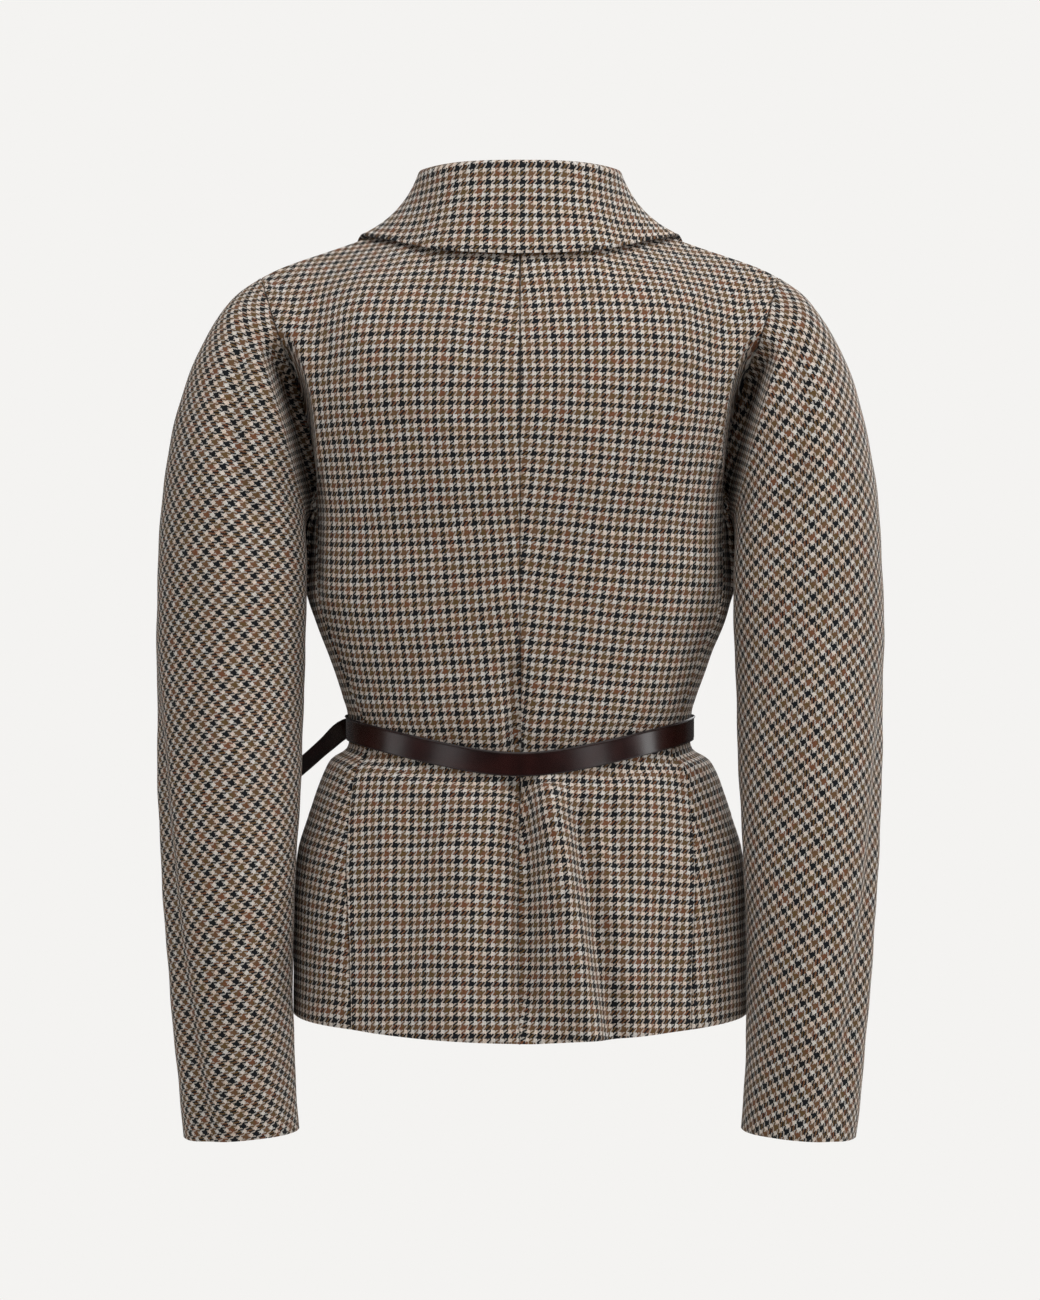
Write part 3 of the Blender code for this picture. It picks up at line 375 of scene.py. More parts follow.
class ClothSettings(bpy.types.PropertyGroup):
    """Sizes and colours of the wool."""

    thickness: bpy.props.FloatProperty(
        name="Thickness", description="Thickness of one layer of the wool", default=0.002, min=0.001, max=0.004,
        unit="LENGTH",
    )
    collar_thickness: bpy.props.FloatProperty(
        name="Collar thickness", description="Thickness of the collar's turned and stitched cloth", default=0.0028,
        min=0.001, max=0.004, unit="LENGTH",
    )
    repeat: bpy.props.FloatProperty(
        name="Check repeat", description="Width of one repeat of the check, sixteen yarns", default=0.0124,
        min=0.004, max=0.05, unit="LENGTH",
    )
    seam_depth: bpy.props.FloatProperty(
        name="Seam depth", description="How far the cloth turns in at a seam", default=0.0032, min=0.0, max=0.005,
        unit="LENGTH",
    )
    sleeve_grain: bpy.props.FloatProperty(
        name="Sleeve grain", description="Angle between a sleeve's length and its warp", default=math.radians(40),
        subtype="ANGLE",
    )
    dark: bpy.props.FloatVectorProperty(
        name="Dark yarn", description="Colour of the near-black yarn",
        default=(0.0080, 0.0090, 0.0105), **COLOUR,
    )
    brown: bpy.props.FloatVectorProperty(
        name="Brown yarn", description="Colour of the brown yarn",
        default=(0.190, 0.098, 0.047), **COLOUR,
    )
    cream: bpy.props.FloatVectorProperty(
        name="Cream yarn", description="Colour of the cream yarn",
        default=(0.960, 0.885, 0.795), **COLOUR,
    )


class BeltSettings(bpy.types.PropertyGroup):
    """Sizes and colours of the belt and its buckle."""

    strap_thickness: bpy.props.FloatProperty(
        name="Strap thickness", description="Thickness of the leather strap", default=0.002, min=0.001, max=0.0025,
        unit="LENGTH",
    )
    leather: bpy.props.FloatVectorProperty(
        name="Leather", description="Colour of the leather's grain side",
        default=(0.0180, 0.0020, 0.0013), **COLOUR,
    )
    edge: bpy.props.FloatVectorProperty(
        name="Edge paint", description="Colour of the strap's painted edge",
        default=(0.008, 0.004, 0.004), **COLOUR,
    )
    brass: bpy.props.FloatVectorProperty(
        name="Brass", description="Colour of the buckle",
        default=(0.48, 0.30, 0.11), **COLOUR,
    )


class StudioSettings(bpy.types.PropertyGroup):
    """The floor, the lights and the camera."""

    floor_drop: bpy.props.FloatProperty(
        name="Floor below the cuffs", description="Distance from the lowest cloth down to the floor", default=0.52,
        min=0, max=3, unit="LENGTH",
    )
    pale: bpy.props.FloatVectorProperty(
        name="Backdrop", description="Colour of the backdrop and the floor",
        default=(0.905, 0.896, 0.880), **COLOUR,
    )
    side_light: bpy.props.FloatProperty(
        name="Side lights", description="Power of each of the two side lights", default=20.0, min=0, unit="POWER",
    )
    back_light: bpy.props.FloatProperty(
        name="Back lights", description="Power of each of the two lights on the jacket's back", default=8.0, min=0,
        unit="POWER",
    )
    top_light: bpy.props.FloatProperty(
        name="Top light", description="Power of the overhead light", default=38.0, min=0, unit="POWER",
    )
    front_light: bpy.props.FloatProperty(
        name="Front light", description="Power of the light on the jacket's front", default=50.0, min=0, unit="POWER",
    )
    fill: bpy.props.FloatProperty(
        name="Fill", description="Strength of the light that comes from all round", default=0.08, min=0, max=2,
    )
    camera_distance: bpy.props.FloatProperty(
        name="Camera distance", description="From the camera to the middle of the jacket",
        default=CAMERA_DISTANCE, min=1, unit="LENGTH",
    )


def smooth(x):
    """Eases from 0 to 1."""
    x = np.clip(x, 0.0, 1.0)
    return x * x * (3.0 - 2.0 * x)


def mix(a, b, share):
    return a + (b - a) * share


def unit(v):
    return v / np.maximum(np.linalg.norm(v, axis=-1), 1e-12)[..., None]


def hermite(start, end, leave, arrive, t):
    return (
        start * (2 * t**3 - 3 * t**2 + 1)
        + leave * (t**3 - 2 * t**2 + t)
        + end * (3 * t**2 - 2 * t**3)
        + arrive * (t**3 - t**2)
    )


def through(values, at):
    """A smooth curve through evenly numbered values, read at positions from 0 to len(values) - 1."""
    values = np.asarray(values, float)
    last = len(values) - 1
    slopes = np.gradient(values, axis=0)
    at = np.asarray(at, float)
    k = np.clip(np.floor(at), 0, last - 1).astype(int)
    t = (at - k).reshape(at.shape + (1,) * (values[k].ndim - at.ndim))
    return hermite(values[k], values[k + 1], slopes[k], slopes[k + 1], t)


def through_knots(knots, values, at):
    """A smooth curve through values at uneven knots."""
    return through(values, np.interp(at, knots, np.arange(len(knots))))


def column(rows, names, name):
    return np.array([row[names.index(name)] for row in rows], float)


def ring_point(level, angle):
    """A point of the body's outside. level counts the sections from 0, and angle is in radians from the centre back."""
    size = {name: through(column(RINGS, RING_COLUMNS, name), level) for name in RING_COLUMNS[:6]}
    s, c = np.sin(angle), np.cos(angle)
    depth = np.where(c > 0, size["back_depth"], size["front_depth"])
    end_z = np.where(c > 0, size["back_z"], size["front_z"])
    n = SQUARENESS
    r = (np.abs(s / size["half_width"]) ** n + np.abs(c / depth) ** n) ** (-1 / n)
    return np.stack([r * s, r * c, size["side_z"] + (end_z - size["side_z"]) * c * c], -1)


def armhole(angle):
    """A point of the left armhole, angle in degrees from the shoulder tip by the back."""
    points = np.array([row[1:] for row in ARMHOLE])
    position = np.interp(angle, [row[0] for row in ARMHOLE], np.arange(len(ARMHOLE)))
    return through(np.vstack([points[-2], points, points[1]]), position + 1)


def back_neck(share):
    turn = share * math.pi / 2
    z = mix(NECK_BACK[2], NECK_SIDE[2], np.sin(turn) ** 2)
    return np.stack([NECK_SIDE[0] * np.sin(turn), NECK_BACK[1] * np.cos(turn), z], -1)


def shoulder(share):
    share = np.clip(share, 0, 1)[..., None]
    bow = SHOULDER_BOW * share**5 * (1 - share) * np.array([0, 0, 1])
    return mix(np.array(NECK_SIDE), np.array(SHOULDER_TIP), share) + bow


def front_neck(share):
    return through(FRONT_NECK, np.asarray(share) * (len(FRONT_NECK) - 1))


def leaving(u, rows):
    rows = np.array(rows)
    return through_knots(rows[:, 0], rows[:, 1:], u)


def back_top(u):
    """The back's top edge from the centre back to the side panel, and the way the cloth leaves it."""
    neck = back_neck(np.clip(u / BACK_NECK_SHARE, -1, 1))
    seam = shoulder((u - BACK_NECK_SHARE) / (BACK_SHOULDER_SHARE - BACK_NECK_SHARE))
    down = (u - BACK_SHOULDER_SHARE) / (1 - BACK_SHOULDER_SHARE)
    hole = armhole(np.clip(down, 0, 1.2) * ARMHOLE_AT_SIDE_BACK)
    pick = u[..., None]
    point = np.where(pick < BACK_NECK_SHARE, neck, np.where(pick < BACK_SHOULDER_SHARE, seam, hole))
    return point, leaving(np.abs(u), BACK_LEAVES)


def side_top(u):
    return armhole(mix(ARMHOLE_AT_SIDE_BACK, ARMHOLE_AT_SIDE_FRONT, u)), leaving(u, SIDE_LEAVES)


def front_top(u):
    """The front's top edge from the side panel to the front edge."""
    hole = armhole(mix(ARMHOLE_AT_SIDE_FRONT, 360.0, np.clip(u / FRONT_SHOULDER_SHARE, -0.2, 1)))
    seam = shoulder(1 - (u - FRONT_SHOULDER_SHARE) / (FRONT_NECK_SHARE - FRONT_SHOULDER_SHARE))
    neck = front_neck(np.clip((u - FRONT_NECK_SHARE) / (1 - FRONT_NECK_SHARE), 0, 1.05))
    pick = u[..., None]
    point = np.where(pick < FRONT_SHOULDER_SHARE, hole, np.where(pick < FRONT_NECK_SHARE, seam, neck))
    return point, leaving(u, FRONT_LEAVES)


TOP_EDGES = {"back": back_top, "side": side_top, "front": front_top}


def seam_angles(level, panel):
    """The angles, in radians, of a panel's two sides on a section."""
    side_back = np.radians(through(column(RINGS, RING_COLUMNS, "side_back"), level))
    side_front = np.radians(through(column(RINGS, RING_COLUMNS, "side_front"), level))
    if panel == "back":
        return 0 * side_back, side_back
    if panel == "side":
        return side_back, side_front
    depth = through(column(RINGS, RING_COLUMNS, "front_depth"), level)
    return side_front, math.pi + np.arctan2(WRAP, depth)


def plain_point(panel, u, r):
    """The body's outside before its folds. r is 0 at the top edge, 1 at the first section, and counts on from there."""
    u, r = np.broadcast_arrays(np.asarray(u, float), np.asarray(r, float))
    below = ring_point(np.maximum(r - 1, 0), mix(*seam_angles(np.maximum(r - 1, 0), panel), u))
    spread = np.clip(np.minimum(u, 1 - u), 0, CORNER_EASE) * smooth(r / 0.25)
    start, way = np.mean([TOP_EDGES[panel](u + spread * k) for k in (-1, -0.6, -0.2, 0.2, 0.6, 1)], 0)
    zero = np.zeros_like(u)
    ring = ring_point(zero, mix(*seam_angles(zero, panel), u))
    step = ring_point(zero + 1, mix(*seam_angles(zero + 1, panel), u)) - ring
    drop = np.linalg.norm(ring - start, axis=-1)[..., None]
    above = hermite(start, ring, way * drop, unit(step) * drop, np.clip(r, -0.1, 1)[..., None])
    if panel == "front":
        above = above + INWARD * chest_pull(above)[..., None]
    if panel == "back":
        above = above + INWARD * back_pull(above, r)[..., None]
    return np.where((r < 1)[..., None], above, below)


def section_depth(x, z, table):
    rows = np.array(table)[::-1]
    shape = np.moveaxis(through_knots(rows[:, 0], rows[:, 1:], z), -1, 0)
    return shape[1] * (1 - np.clip(np.abs(x) / shape[0], 0, 1) ** SQUARENESS) ** (1 / SQUARENESS)


def chest_pull(place):
    """How far a point of the front moves in y so both fronts follow the same chest near the centre front."""
    x, y, z = np.moveaxis(place, -1, 0)
    weight = smooth((0.082 - np.abs(x)) / 0.030) * smooth((-0.022 - z) / 0.030)
    return (-section_depth(x, z, CHEST) - y) * weight


def back_pull(place, r):
    """How far a point of the back moves in y, away from its edges, so the upper back is evenly rounded."""
    x, y, z = np.moveaxis(place, -1, 0)
    weight = smooth(r / 0.45) * smooth((0.160 - np.abs(x)) / 0.045)
    return (section_depth(x, z, UPPER_BACK) - y) * weight


def steps(*marks):
    """Places between marks, given as start, (spans, end), (spans, end)..."""
    places = [marks[0]]
    for spans, end in marks[1:]:
        places += list(np.linspace(places[-1], end, spans + 1)[1:])
    return np.array(places)


def panel_columns(panel):
    """Shares across a panel where its columns stand, closer together beside its seams."""
    if panel == "back":
        base = steps(0, (NECK_SPANS, BACK_NECK_SHARE), (SHOULDER_SPANS, BACK_SHOULDER_SHARE), (ARMHOLE_SPANS, 1))
    elif panel == "side":
        base = steps(0, (SIDE_SPANS, 1))
    else:
        first = (ARMHOLE_SPANS, FRONT_SHOULDER_SHARE)
        base = steps(0, first, (SHOULDER_SPANS, FRONT_NECK_SHARE), (FRONT_NECK_SPANS, 1))
    near = np.array(SEAM_STEPS) / PANEL_WIDTHS[panel]
    extra = np.concatenate([near, 1 - near if panel != "front" else near])
    keep = [b for b in base if np.min(np.abs(b - extra)) > 0.12 * near[-1] or b in (0, 1)]
    return np.unique(np.concatenate([keep, extra]))


def panel_rows():
    """Rows from the top edge to the hem, closer together beside the top seams."""
    above = np.linspace(0, 1, ROWS_ABOVE, endpoint=False)
    levels = np.linspace(0, len(RINGS) - 1, 400)
    z = through(column(RINGS, RING_COLUMNS, "back_z"), levels)
    count = round((z[0] - z[-1]) / ROW_HEIGHT)
    below = np.interp(-np.linspace(z[0], z[-1], count), -z, levels)
    return np.unique(np.concatenate([above, TOP_STEPS, 1 + below]))


@functools.lru_cache(maxsize=None)
def plain_body():
    """The left half's plain outside from the centre back round to the front edge, and where each panel starts."""
    rows = panel_rows()
    grids, marks = [], [0]
    for panel in ("back", "side", "front"):
        r, u = np.meshgrid(rows, panel_columns(panel), indexing="ij")
        grid = plain_point(panel, u, r)
        grids.append(grid if panel == "back" else grid[:, 1:])
        marks.append(marks[-1] + grid.shape[1] - 1)
    return np.concatenate(grids, axis=1), tuple(marks)


def sleeve_columns():
    """The body's columns that end in the armhole, and their degrees round it."""
    back, side, front = (panel_columns(panel) for panel in ("back", "side", "front"))
    down = (back - BACK_SHOULDER_SHARE) / (1 - BACK_SHOULDER_SHARE)
    degrees = [d * ARMHOLE_AT_SIDE_BACK for d in down if d > -1e-9]
    degrees += list(mix(ARMHOLE_AT_SIDE_BACK, ARMHOLE_AT_SIDE_FRONT, side[1:]))
    up = front[1:] / FRONT_SHOULDER_SHARE
    degrees += [mix(ARMHOLE_AT_SIDE_FRONT, 360.0, d) for d in up if d < 1 + 1e-9]
    return int(np.sum(down < -1e-9)), np.array(degrees)


def sleeve_ring(k, angle):
    """A point of the left sleeve's section k (0 is the armhole), angle in radians from the outer side by the back."""
    if k == 0:
        return armhole(np.degrees(angle) % 360)
    row = dict(zip(SLEEVE_COLUMNS, SLEEVE_RINGS[k - 1]))
    c, s = np.cos(angle), np.sin(angle)
    x = mix(row["inner_x"], row["outer_x"], (1 + c) / 2)
    z = mix(row["inner_z"], row["outer_z"], (1 + c) / 2)
    y = row["middle_y"] + row["half_depth"] * s
    return np.stack([x - row["lean"] * 2 * np.maximum(s, 0) * np.maximum(-c, 0), y, z], -1)


@functools.lru_cache(maxsize=None)
def plain_sleeve():
    """The left sleeve's plain outside, one column for each of the body's at the armhole, its section at each row."""
    _, degrees = sleeve_columns()
    angle = np.radians(degrees[:-1])
    rings = np.stack([sleeve_ring(k, angle) for k in range(len(SLEEVE_RINGS) + 1)])
    places = np.linspace(0, 1, SLEEVE_ROWS) ** 1.05 * len(SLEEVE_RINGS)
    places = np.unique(np.concatenate([places, SLEEVE_TOP_STEPS]))
    return through(rings, places), places, degrees[:-1]


def turn_of(grid, closed=False):
    """Unit normals of a grid. With closed, its last column joins the first."""
    if closed:
        across = np.roll(grid, -1, axis=1) - np.roll(grid, 1, axis=1)
    else:
        across = np.gradient(grid, axis=1)
    return unit(np.cross(across, np.gradient(grid, axis=0)))


def fold_height(x, z, folds):
    """The height of all folds at places (x, z)."""
    total = np.zeros_like(x)
    for top_x, top_z, low_x, low_z, half_width, height, fade in folds:
        share = np.clip((top_z - z) / (top_z - low_z), 0, 1)
        off = (x - mix(top_x, low_x, share)) / half_width
        ends = smooth((top_z + fade / 2 - z) / fade) * smooth((z - low_z + fade / 2) / fade)
        total += height * np.exp(-off * off) * ends
    return total


def unevenness(x, z, lag):
    """The slight unevenness of pressed and worn wool."""
    wave = np.sin(61 * x + 23 * z + lag) * np.sin(17 * x - 47 * z + 2.1 * lag)
    return 0.00045 * wave + 0.00030 * np.sin(95 * x - 71 * z + 1.3 * lag) * np.sin(39 * x + 88 * z + lag)


def lengths(grid, axis):
    """How far each point is along its row (axis 1) or its column (axis 0)."""
    hops = np.linalg.norm(np.diff(grid, axis=axis), axis=-1)
    pad = [(0, 0), (0, 0)]
    pad[axis] = (1, 0)
    return np.pad(np.cumsum(hops, axis=axis), pad)


def seam_sink(distance, depth):
    return depth * np.clip(1 - distance / SEAM_STEPS[-1], 0, 1) ** 3


def valley(grid, slope):
    """How deep the valley at the armhole is for each point of a grid."""
    degrees = np.linspace(0, 220, 89)
    line = armhole(degrees)
    start, full, past, end = VALLEY_TURNS
    weight = smooth((degrees - start) / (full - start)) * smooth((end - degrees) / (end - past))
    away = np.linalg.norm(grid[:, :, None] - line, axis=-1)
    near = np.argmin(away, axis=-1)
    away = np.take_along_axis(away, near[..., None], -1)[..., 0]
    depth = VALLEY_DEPTH * weight[near] * (1 - smooth((away - slope[0]) / (slope[1] - slope[0])))
    return np.where(grid[..., 1] > -0.01, depth, 0.0)[..., None]


def side_hollow(grid):
    """How deep the body falls away beside the sleeve, below the armhole."""
    x, y, z = np.moveaxis(grid, -1, 0)
    start, full, top, low, depth = SIDE_HOLLOW
    ends = smooth((top - z) / 0.025) * smooth((z - low) / 0.035)
    return (depth * smooth((x - start) / (full - start)) * smooth(y / 0.02) * ends)[..., None]


@functools.lru_cache(maxsize=None)
def cloth(word, thickness, seam_depth):
    """The outside and inside of one half's body and its sleeve, in the wearer's left-hand form."""
    side = 1 if word == "left" else -1
    plain, marks = plain_body()
    push = turn_of(plain)
    push[:, 0, 0] = 0
    x, y, z = np.moveaxis(plain, -1, 0)
    folds = np.where(
        y > 0,
        fold_height(side * x, z, BACK_FOLDS) + fold_height(side * x, z, BACK_CREASES),
        fold_height(side * x, z, FRONT_FOLDS) + fold_height(side * x, z, FRONT_CREASES),
    )
    height = folds * smooth(np.abs(y) / 0.03)
    height = height + unevenness(side * x + np.sign(y) * 0.4, z, 0.7) * smooth(lengths(plain, 0) / 0.03)
    y_at, z_at, half_y, half_z, full = SIDE_FULLNESS
    off = ((y - y_at) / half_y) ** 2 + ((z - z_at) / half_z) ** 4
    height = height + np.where(x > 0.10, full * np.exp(-off), 0)
    if side > 0:
        under = smooth((UNDERLAP_START + UNDERLAP_SLOPE - x) / UNDERLAP_SLOPE) * smooth((-0.03 - z) / 0.03)
        height = np.where(np.arange(plain.shape[1]) >= marks[2], height - UNDERLAP_SINK * under, height)
    first, _ = sleeve_columns()
    stop = first + len(plain_sleeve()[2]) + 1
    outside = plain + unit(push) * height[..., None]

    sleeve, places, degrees = plain_sleeve()
    push = -turn_of(sleeve, closed=True)
    height = np.zeros(sleeve.shape[:2])
    v = places[:, None]
    for start, start_turn, end, end_turn, half_width, fold, fade in SLEEVE_FOLDS:
        share = np.clip((v - start) / (end - start), 0, 1)
        off = (degrees - mix(start_turn, end_turn, share) + 180) % 360 - 180
        off = np.radians(off) * SLEEVE_RADIUS / half_width
        ends = smooth((v - start + fade / 2) / fade) * smooth((end + fade / 2 - v) / fade)
        height = height + fold * np.exp(-off * off) * ends
    height = height + unevenness(np.radians(degrees) * SLEEVE_RADIUS, sleeve[..., 2], 1.9 * side) * smooth(v / 1.5)
    sunk = {"body": valley(plain, VALLEY_ON_BODY), "sleeve": valley(sleeve, VALLEY_ON_SLEEVE)}
    sleeve = sleeve + push * height[..., None]
    cut = {"body": outside, "sleeve": sleeve}
    outside = outside - (sunk["body"] + side_hollow(plain)) * INWARD
    sleeve = sleeve - sunk["sleeve"] * INWARD

    body_out, sleeve_out = turn_of(outside), -turn_of(sleeve, closed=True)
    body_out[:, 0, 0] = 0
    body_out = unit(body_out)
    shoulder_back = np.arange(first - SHOULDER_SPANS, first)
    shoulder_front = stop - 1 + (first - shoulder_back)
    joint = unit(body_out[0, first:stop - 1] + sleeve_out[0])
    joint[0] = unit(joint[0] + body_out[0, stop - 1])
    body_out[0, first:stop - 1] = sleeve_out[0] = joint
    body_out[0, stop - 1] = joint[0]
    both = unit(body_out[0, shoulder_back] + body_out[0, shoulder_front])
    body_out[0, shoulder_back] = body_out[0, shoulder_front] = both

    across, down = lengths(outside, 1), lengths(outside, 0)
    sink = seam_sink(down, seam_depth)
    for mark in marks[:3]:
        sink = np.maximum(sink, seam_sink(np.abs(across - across[:, mark:mark + 1]), seam_depth))
    outside = outside - sink[..., None] * body_out
    sink = seam_sink(lengths(sleeve, 0), seam_depth)
    sleeve = sleeve - sink[..., None] * sleeve_out
    body, sleeve = (outside, outside - thickness * body_out), (sleeve, sleeve - thickness * sleeve_out)
    return {"body": body, "sleeve": sleeve, "cut": cut, "sunk": sunk, "marks": marks}


def even_picks(grid, axis, count):
    """Numbers of the rows or columns that stand about evenly along the grid's middle line."""
    middle = lengths(grid, axis)
    line = middle.mean(axis=1 - axis)
    return np.unique(np.round(np.interp(np.linspace(0, line[-1], count), line, np.arange(len(line)))).astype(int))


def laid_flat(grid, rows=34, columns=15, rounds=50):
    """The flat cut of a draped piece, stretched as little as can be: (across, down) in metres for each point."""
    pick_r, pick_c = even_picks(grid, 0, rows), even_picks(grid, 1, columns)
    coarse = grid[np.ix_(pick_r, pick_c)]
    m, n = coarse.shape[:2]
    points = coarse.reshape(-1, 3)
    index = np.arange(m * n).reshape(m, n)
    a, b, c, d = index[:-1, :-1], index[:-1, 1:], index[1:, 1:], index[1:, :-1]
    halves = [(a, b, c), (a, c, d), (a, b, d), (b, c, d)]
    tris = np.concatenate([np.stack([k.ravel() for k in half], 1) for half in halves])
    one, two = points[tris[:, 1]] - points[tris[:, 0]], points[tris[:, 2]] - points[tris[:, 0]]
    long = np.maximum(np.linalg.norm(one, axis=1), 1e-9)
    along = np.sum(two * one, axis=1) / long
    high = np.sqrt(np.maximum(np.sum(two * two, axis=1) - along**2, 1e-16))
    local = np.stack([np.zeros((len(tris), 2)), np.stack([long, 0 * long], 1), np.stack([along, high], 1)], 1)
    pairs = ((0, 1, 2), (1, 2, 0), (2, 0, 1))
    laplacian = np.zeros((m * n, m * n))
    weights = []
    for i, j, k in pairs:
        p, q = local[:, i] - local[:, k], local[:, j] - local[:, k]
        cross = np.maximum(np.abs(p[:, 0] * q[:, 1] - p[:, 1] * q[:, 0]), 1e-12)
        w = np.clip(np.sum(p * q, axis=1) / cross, 0.05, 20.0)
        weights.append(w)
        for s, t in ((i, j), (j, i)):
            np.add.at(laplacian, (tris[:, s], tris[:, s]), w)
            np.add.at(laplacian, (tris[:, s], tris[:, t]), -w)
    laplacian[0, 0] += 1.0
    solver = np.linalg.inv(laplacian)
    flat = np.stack([lengths(coarse, 1), lengths(coarse, 0)], -1).reshape(-1, 2)
    for _ in range(rounds):
        spin = np.zeros((len(tris), 2))
        for (i, j, _k), w in zip(pairs, weights):
            e, f = local[:, i] - local[:, j], flat[tris[:, i]] - flat[tris[:, j]]
            spin[:, 0] += w * np.sum(e * f, axis=1)
            spin[:, 1] += w * (e[:, 0] * f[:, 1] - e[:, 1] * f[:, 0])
        spin = unit(spin)
        pull = np.zeros((m * n, 2))
        for (i, j, _k), w in zip(pairs, weights):
            e = local[:, i] - local[:, j]
            turned = [spin[:, 0] * e[:, 0] - spin[:, 1] * e[:, 1], spin[:, 1] * e[:, 0] + spin[:, 0] * e[:, 1]]
            turned = np.stack(turned, 1)
            np.add.at(pull, tris[:, i], w[:, None] * turned)
            np.add.at(pull, tris[:, j], -w[:, None] * turned)
        pull[0] += flat[0]
        flat = solver @ pull
    down, across = lengths(grid, 0).mean(axis=1), lengths(grid, 1).mean(axis=0)
    flat = through_knots(down[pick_r], flat.reshape(m, n, 2), down)
    flat = through_knots(across[pick_c], flat.transpose(1, 0, 2), across)
    return flat.transpose(1, 0, 2)


def lengthened(flat, sunk):
    """A flat cut with most of the length that the valley takes up added beside the armhole, its first row."""
    return flat - unit(flat[VALLEY_EASE_ROW] - flat[0]) * sunk * VALLEY_CLOTH


def flat_size(flat):
    """Width, length and area of a flat cut."""
    corners = flat.reshape(-1, 2)
    size = corners.max(0) - corners.min(0)
    p, q = flat[1:, 1:] - flat[:-1, :-1], flat[1:, :-1] - flat[:-1, 1:]
    area = float(np.sum(np.abs(p[..., 0] * q[..., 1] - p[..., 1] * q[..., 0])) / 2)
    return float(size[0]), float(size[1]), area


def on_grain(flat, line, side, turn=0.0):
    """Weave places from a flat cut: the line of points runs along the warp, then the cloth is turned by an angle."""
    way = flat[line][-1] - flat[line][0]
    angle = math.atan2(way[0], way[1])
    c, s = math.cos(angle), math.sin(angle)
    x, y = flat[..., 0] - flat[line][0][0], flat[..., 1] - flat[line][0][1]
    across, down = c * x - s * y, s * x + c * y
    across, up = side * across, -down
    c, s = math.cos(turn), math.sin(turn)
    return np.stack([c * across - s * up, s * across + c * up], -1)


def add_piece(name, points, faces, material, maps=None):
    """A new mesh object. maps holds, for a named UV map, one place for each face corner."""
    mesh = bpy.data.meshes.new(name)
    mesh.from_pydata(np.asarray(points).tolist(), [], faces)
    for map_name, places in (maps or {}).items():
        layer = mesh.uv_layers.new(name=map_name)
        layer.data.foreach_set("uv", np.asarray(places, np.float32).ravel())
    mesh.shade_smooth()
    mesh.set_sharp_from_angle(angle=math.radians(SHARP_ANGLE))
    mesh.materials.append(material)
    piece = bpy.data.objects.new(name, mesh)
    bpy.context.scene.collection.objects.link(piece)
    return piece


def cloth_piece(name, outside, inside, weave, material, flip, closed=False, free=(), bulge=EDGE_BULGE):
    """A wall of cloth between two grids. free names its edges that are turned and rounded. closed joins its first
    and last columns, and then weave has one column more.
    """
    rows, columns = outside.shape[:2]
    count = rows * columns
    points = [outside.reshape(-1, 3), inside.reshape(-1, 3)]
    number = np.arange(count).reshape(rows, columns)
    if closed:
        number = np.concatenate([number, number[:, :1]], axis=1)
    wide = number.shape[1]
    place = weave.reshape(-1, 2)
    label = np.arange(rows * wide).reshape(rows, wide)
    faces, corners = [], []

    def strip(a, b, u, v):
        """Faces between two lines of points a and b, with weave labels u and v."""
        for k in range(len(a) - 1):
            faces.append((a[k], a[k + 1], b[k + 1], b[k]))
            corners.append((u[k], u[k + 1], v[k + 1], v[k]))

    for i in range(rows - 1):
        strip(number[i], number[i + 1], label[i], label[i + 1])
        strip(count + number[i + 1], count + number[i], label[i + 1], label[i])
    edges = {
        "top": (number[0][::-1], number[1][::-1], label[0][::-1]),
        "low": (number[-1], number[-2], label[-1]),
    }
    if not closed:
        edges["start"] = (number[:, 0], number[:, 1], label[:, 0])
        edges["end"] = (number[::-1, -1], number[::-1, -2], label[::-1, -1])
    total = 2 * count
    for edge, (line, inner, marks) in edges.items():
        if edge in free:
            out, back = points[0][line], points[1][line]
            away = unit(out - points[0][inner])
            middle = (out + back) / 2 + away * bulge
            ring = np.arange(total, total + len(line))
            points.append(middle)
            total += len(line)
            strip(line, ring, marks, marks)
            strip(ring, count + line, marks, marks)
        else:
            strip(line, count + line, marks, marks)
    if flip:
        faces = [face[::-1] for face in faces]
        corners = [corner[::-1] for corner in corners]
    maps = {WEAVE_MAP: place[np.array(corners).ravel()]}
    piece = add_piece(name, np.concatenate(points), faces, material, maps)
    if closed or len(free) > 1:
        weld(piece)
    return piece


def weld(piece):
    """Joins points that lie on each other where rounded edges meet."""
    work = bmesh.new()
    work.from_mesh(piece.data)
    bmesh.ops.remove_doubles(work, verts=work.verts, dist=1e-6)
    work.to_mesh(piece.data)
    work.free()


def dress(piece, node):
    """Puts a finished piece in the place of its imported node."""
    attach(piece, "root")
    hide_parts(node)


def rest_on_body(panel, x, z):
    """Where the plain body passes through (x, z), and the outward way there."""
    r, u = np.meshgrid(np.linspace(0.02, 2, 60), np.linspace(0, 1, 60), indexing="ij")
    grid = plain_point(panel, u, r)
    best = np.argmin((grid[..., 0] - x) ** 2 + (grid[..., 2] - z) ** 2)
    at = np.array([u.flat[best], r.flat[best]])

    def here(du=0.0, dr=0.0):
        return plain_point(panel, at[0] + du, at[1] + dr)

    for _ in range(12):
        miss = np.array([x, z]) - here()[[0, 2]]
        du = (here(du=1e-3) - here())[[0, 2]] / 1e-3
        dr = (here(dr=1e-3) - here())[[0, 2]] / 1e-3
        move = np.linalg.solve(np.stack([du, dr], 1), miss)
        at = np.clip(at + np.clip(move, -0.05, 0.05), (0.0, 0.0), (1.0, 2.0))
    out = np.cross(here(du=0.004) - here(du=-0.004), here(dr=0.02) - here(dr=-0.02))
    return here(), unit(out)


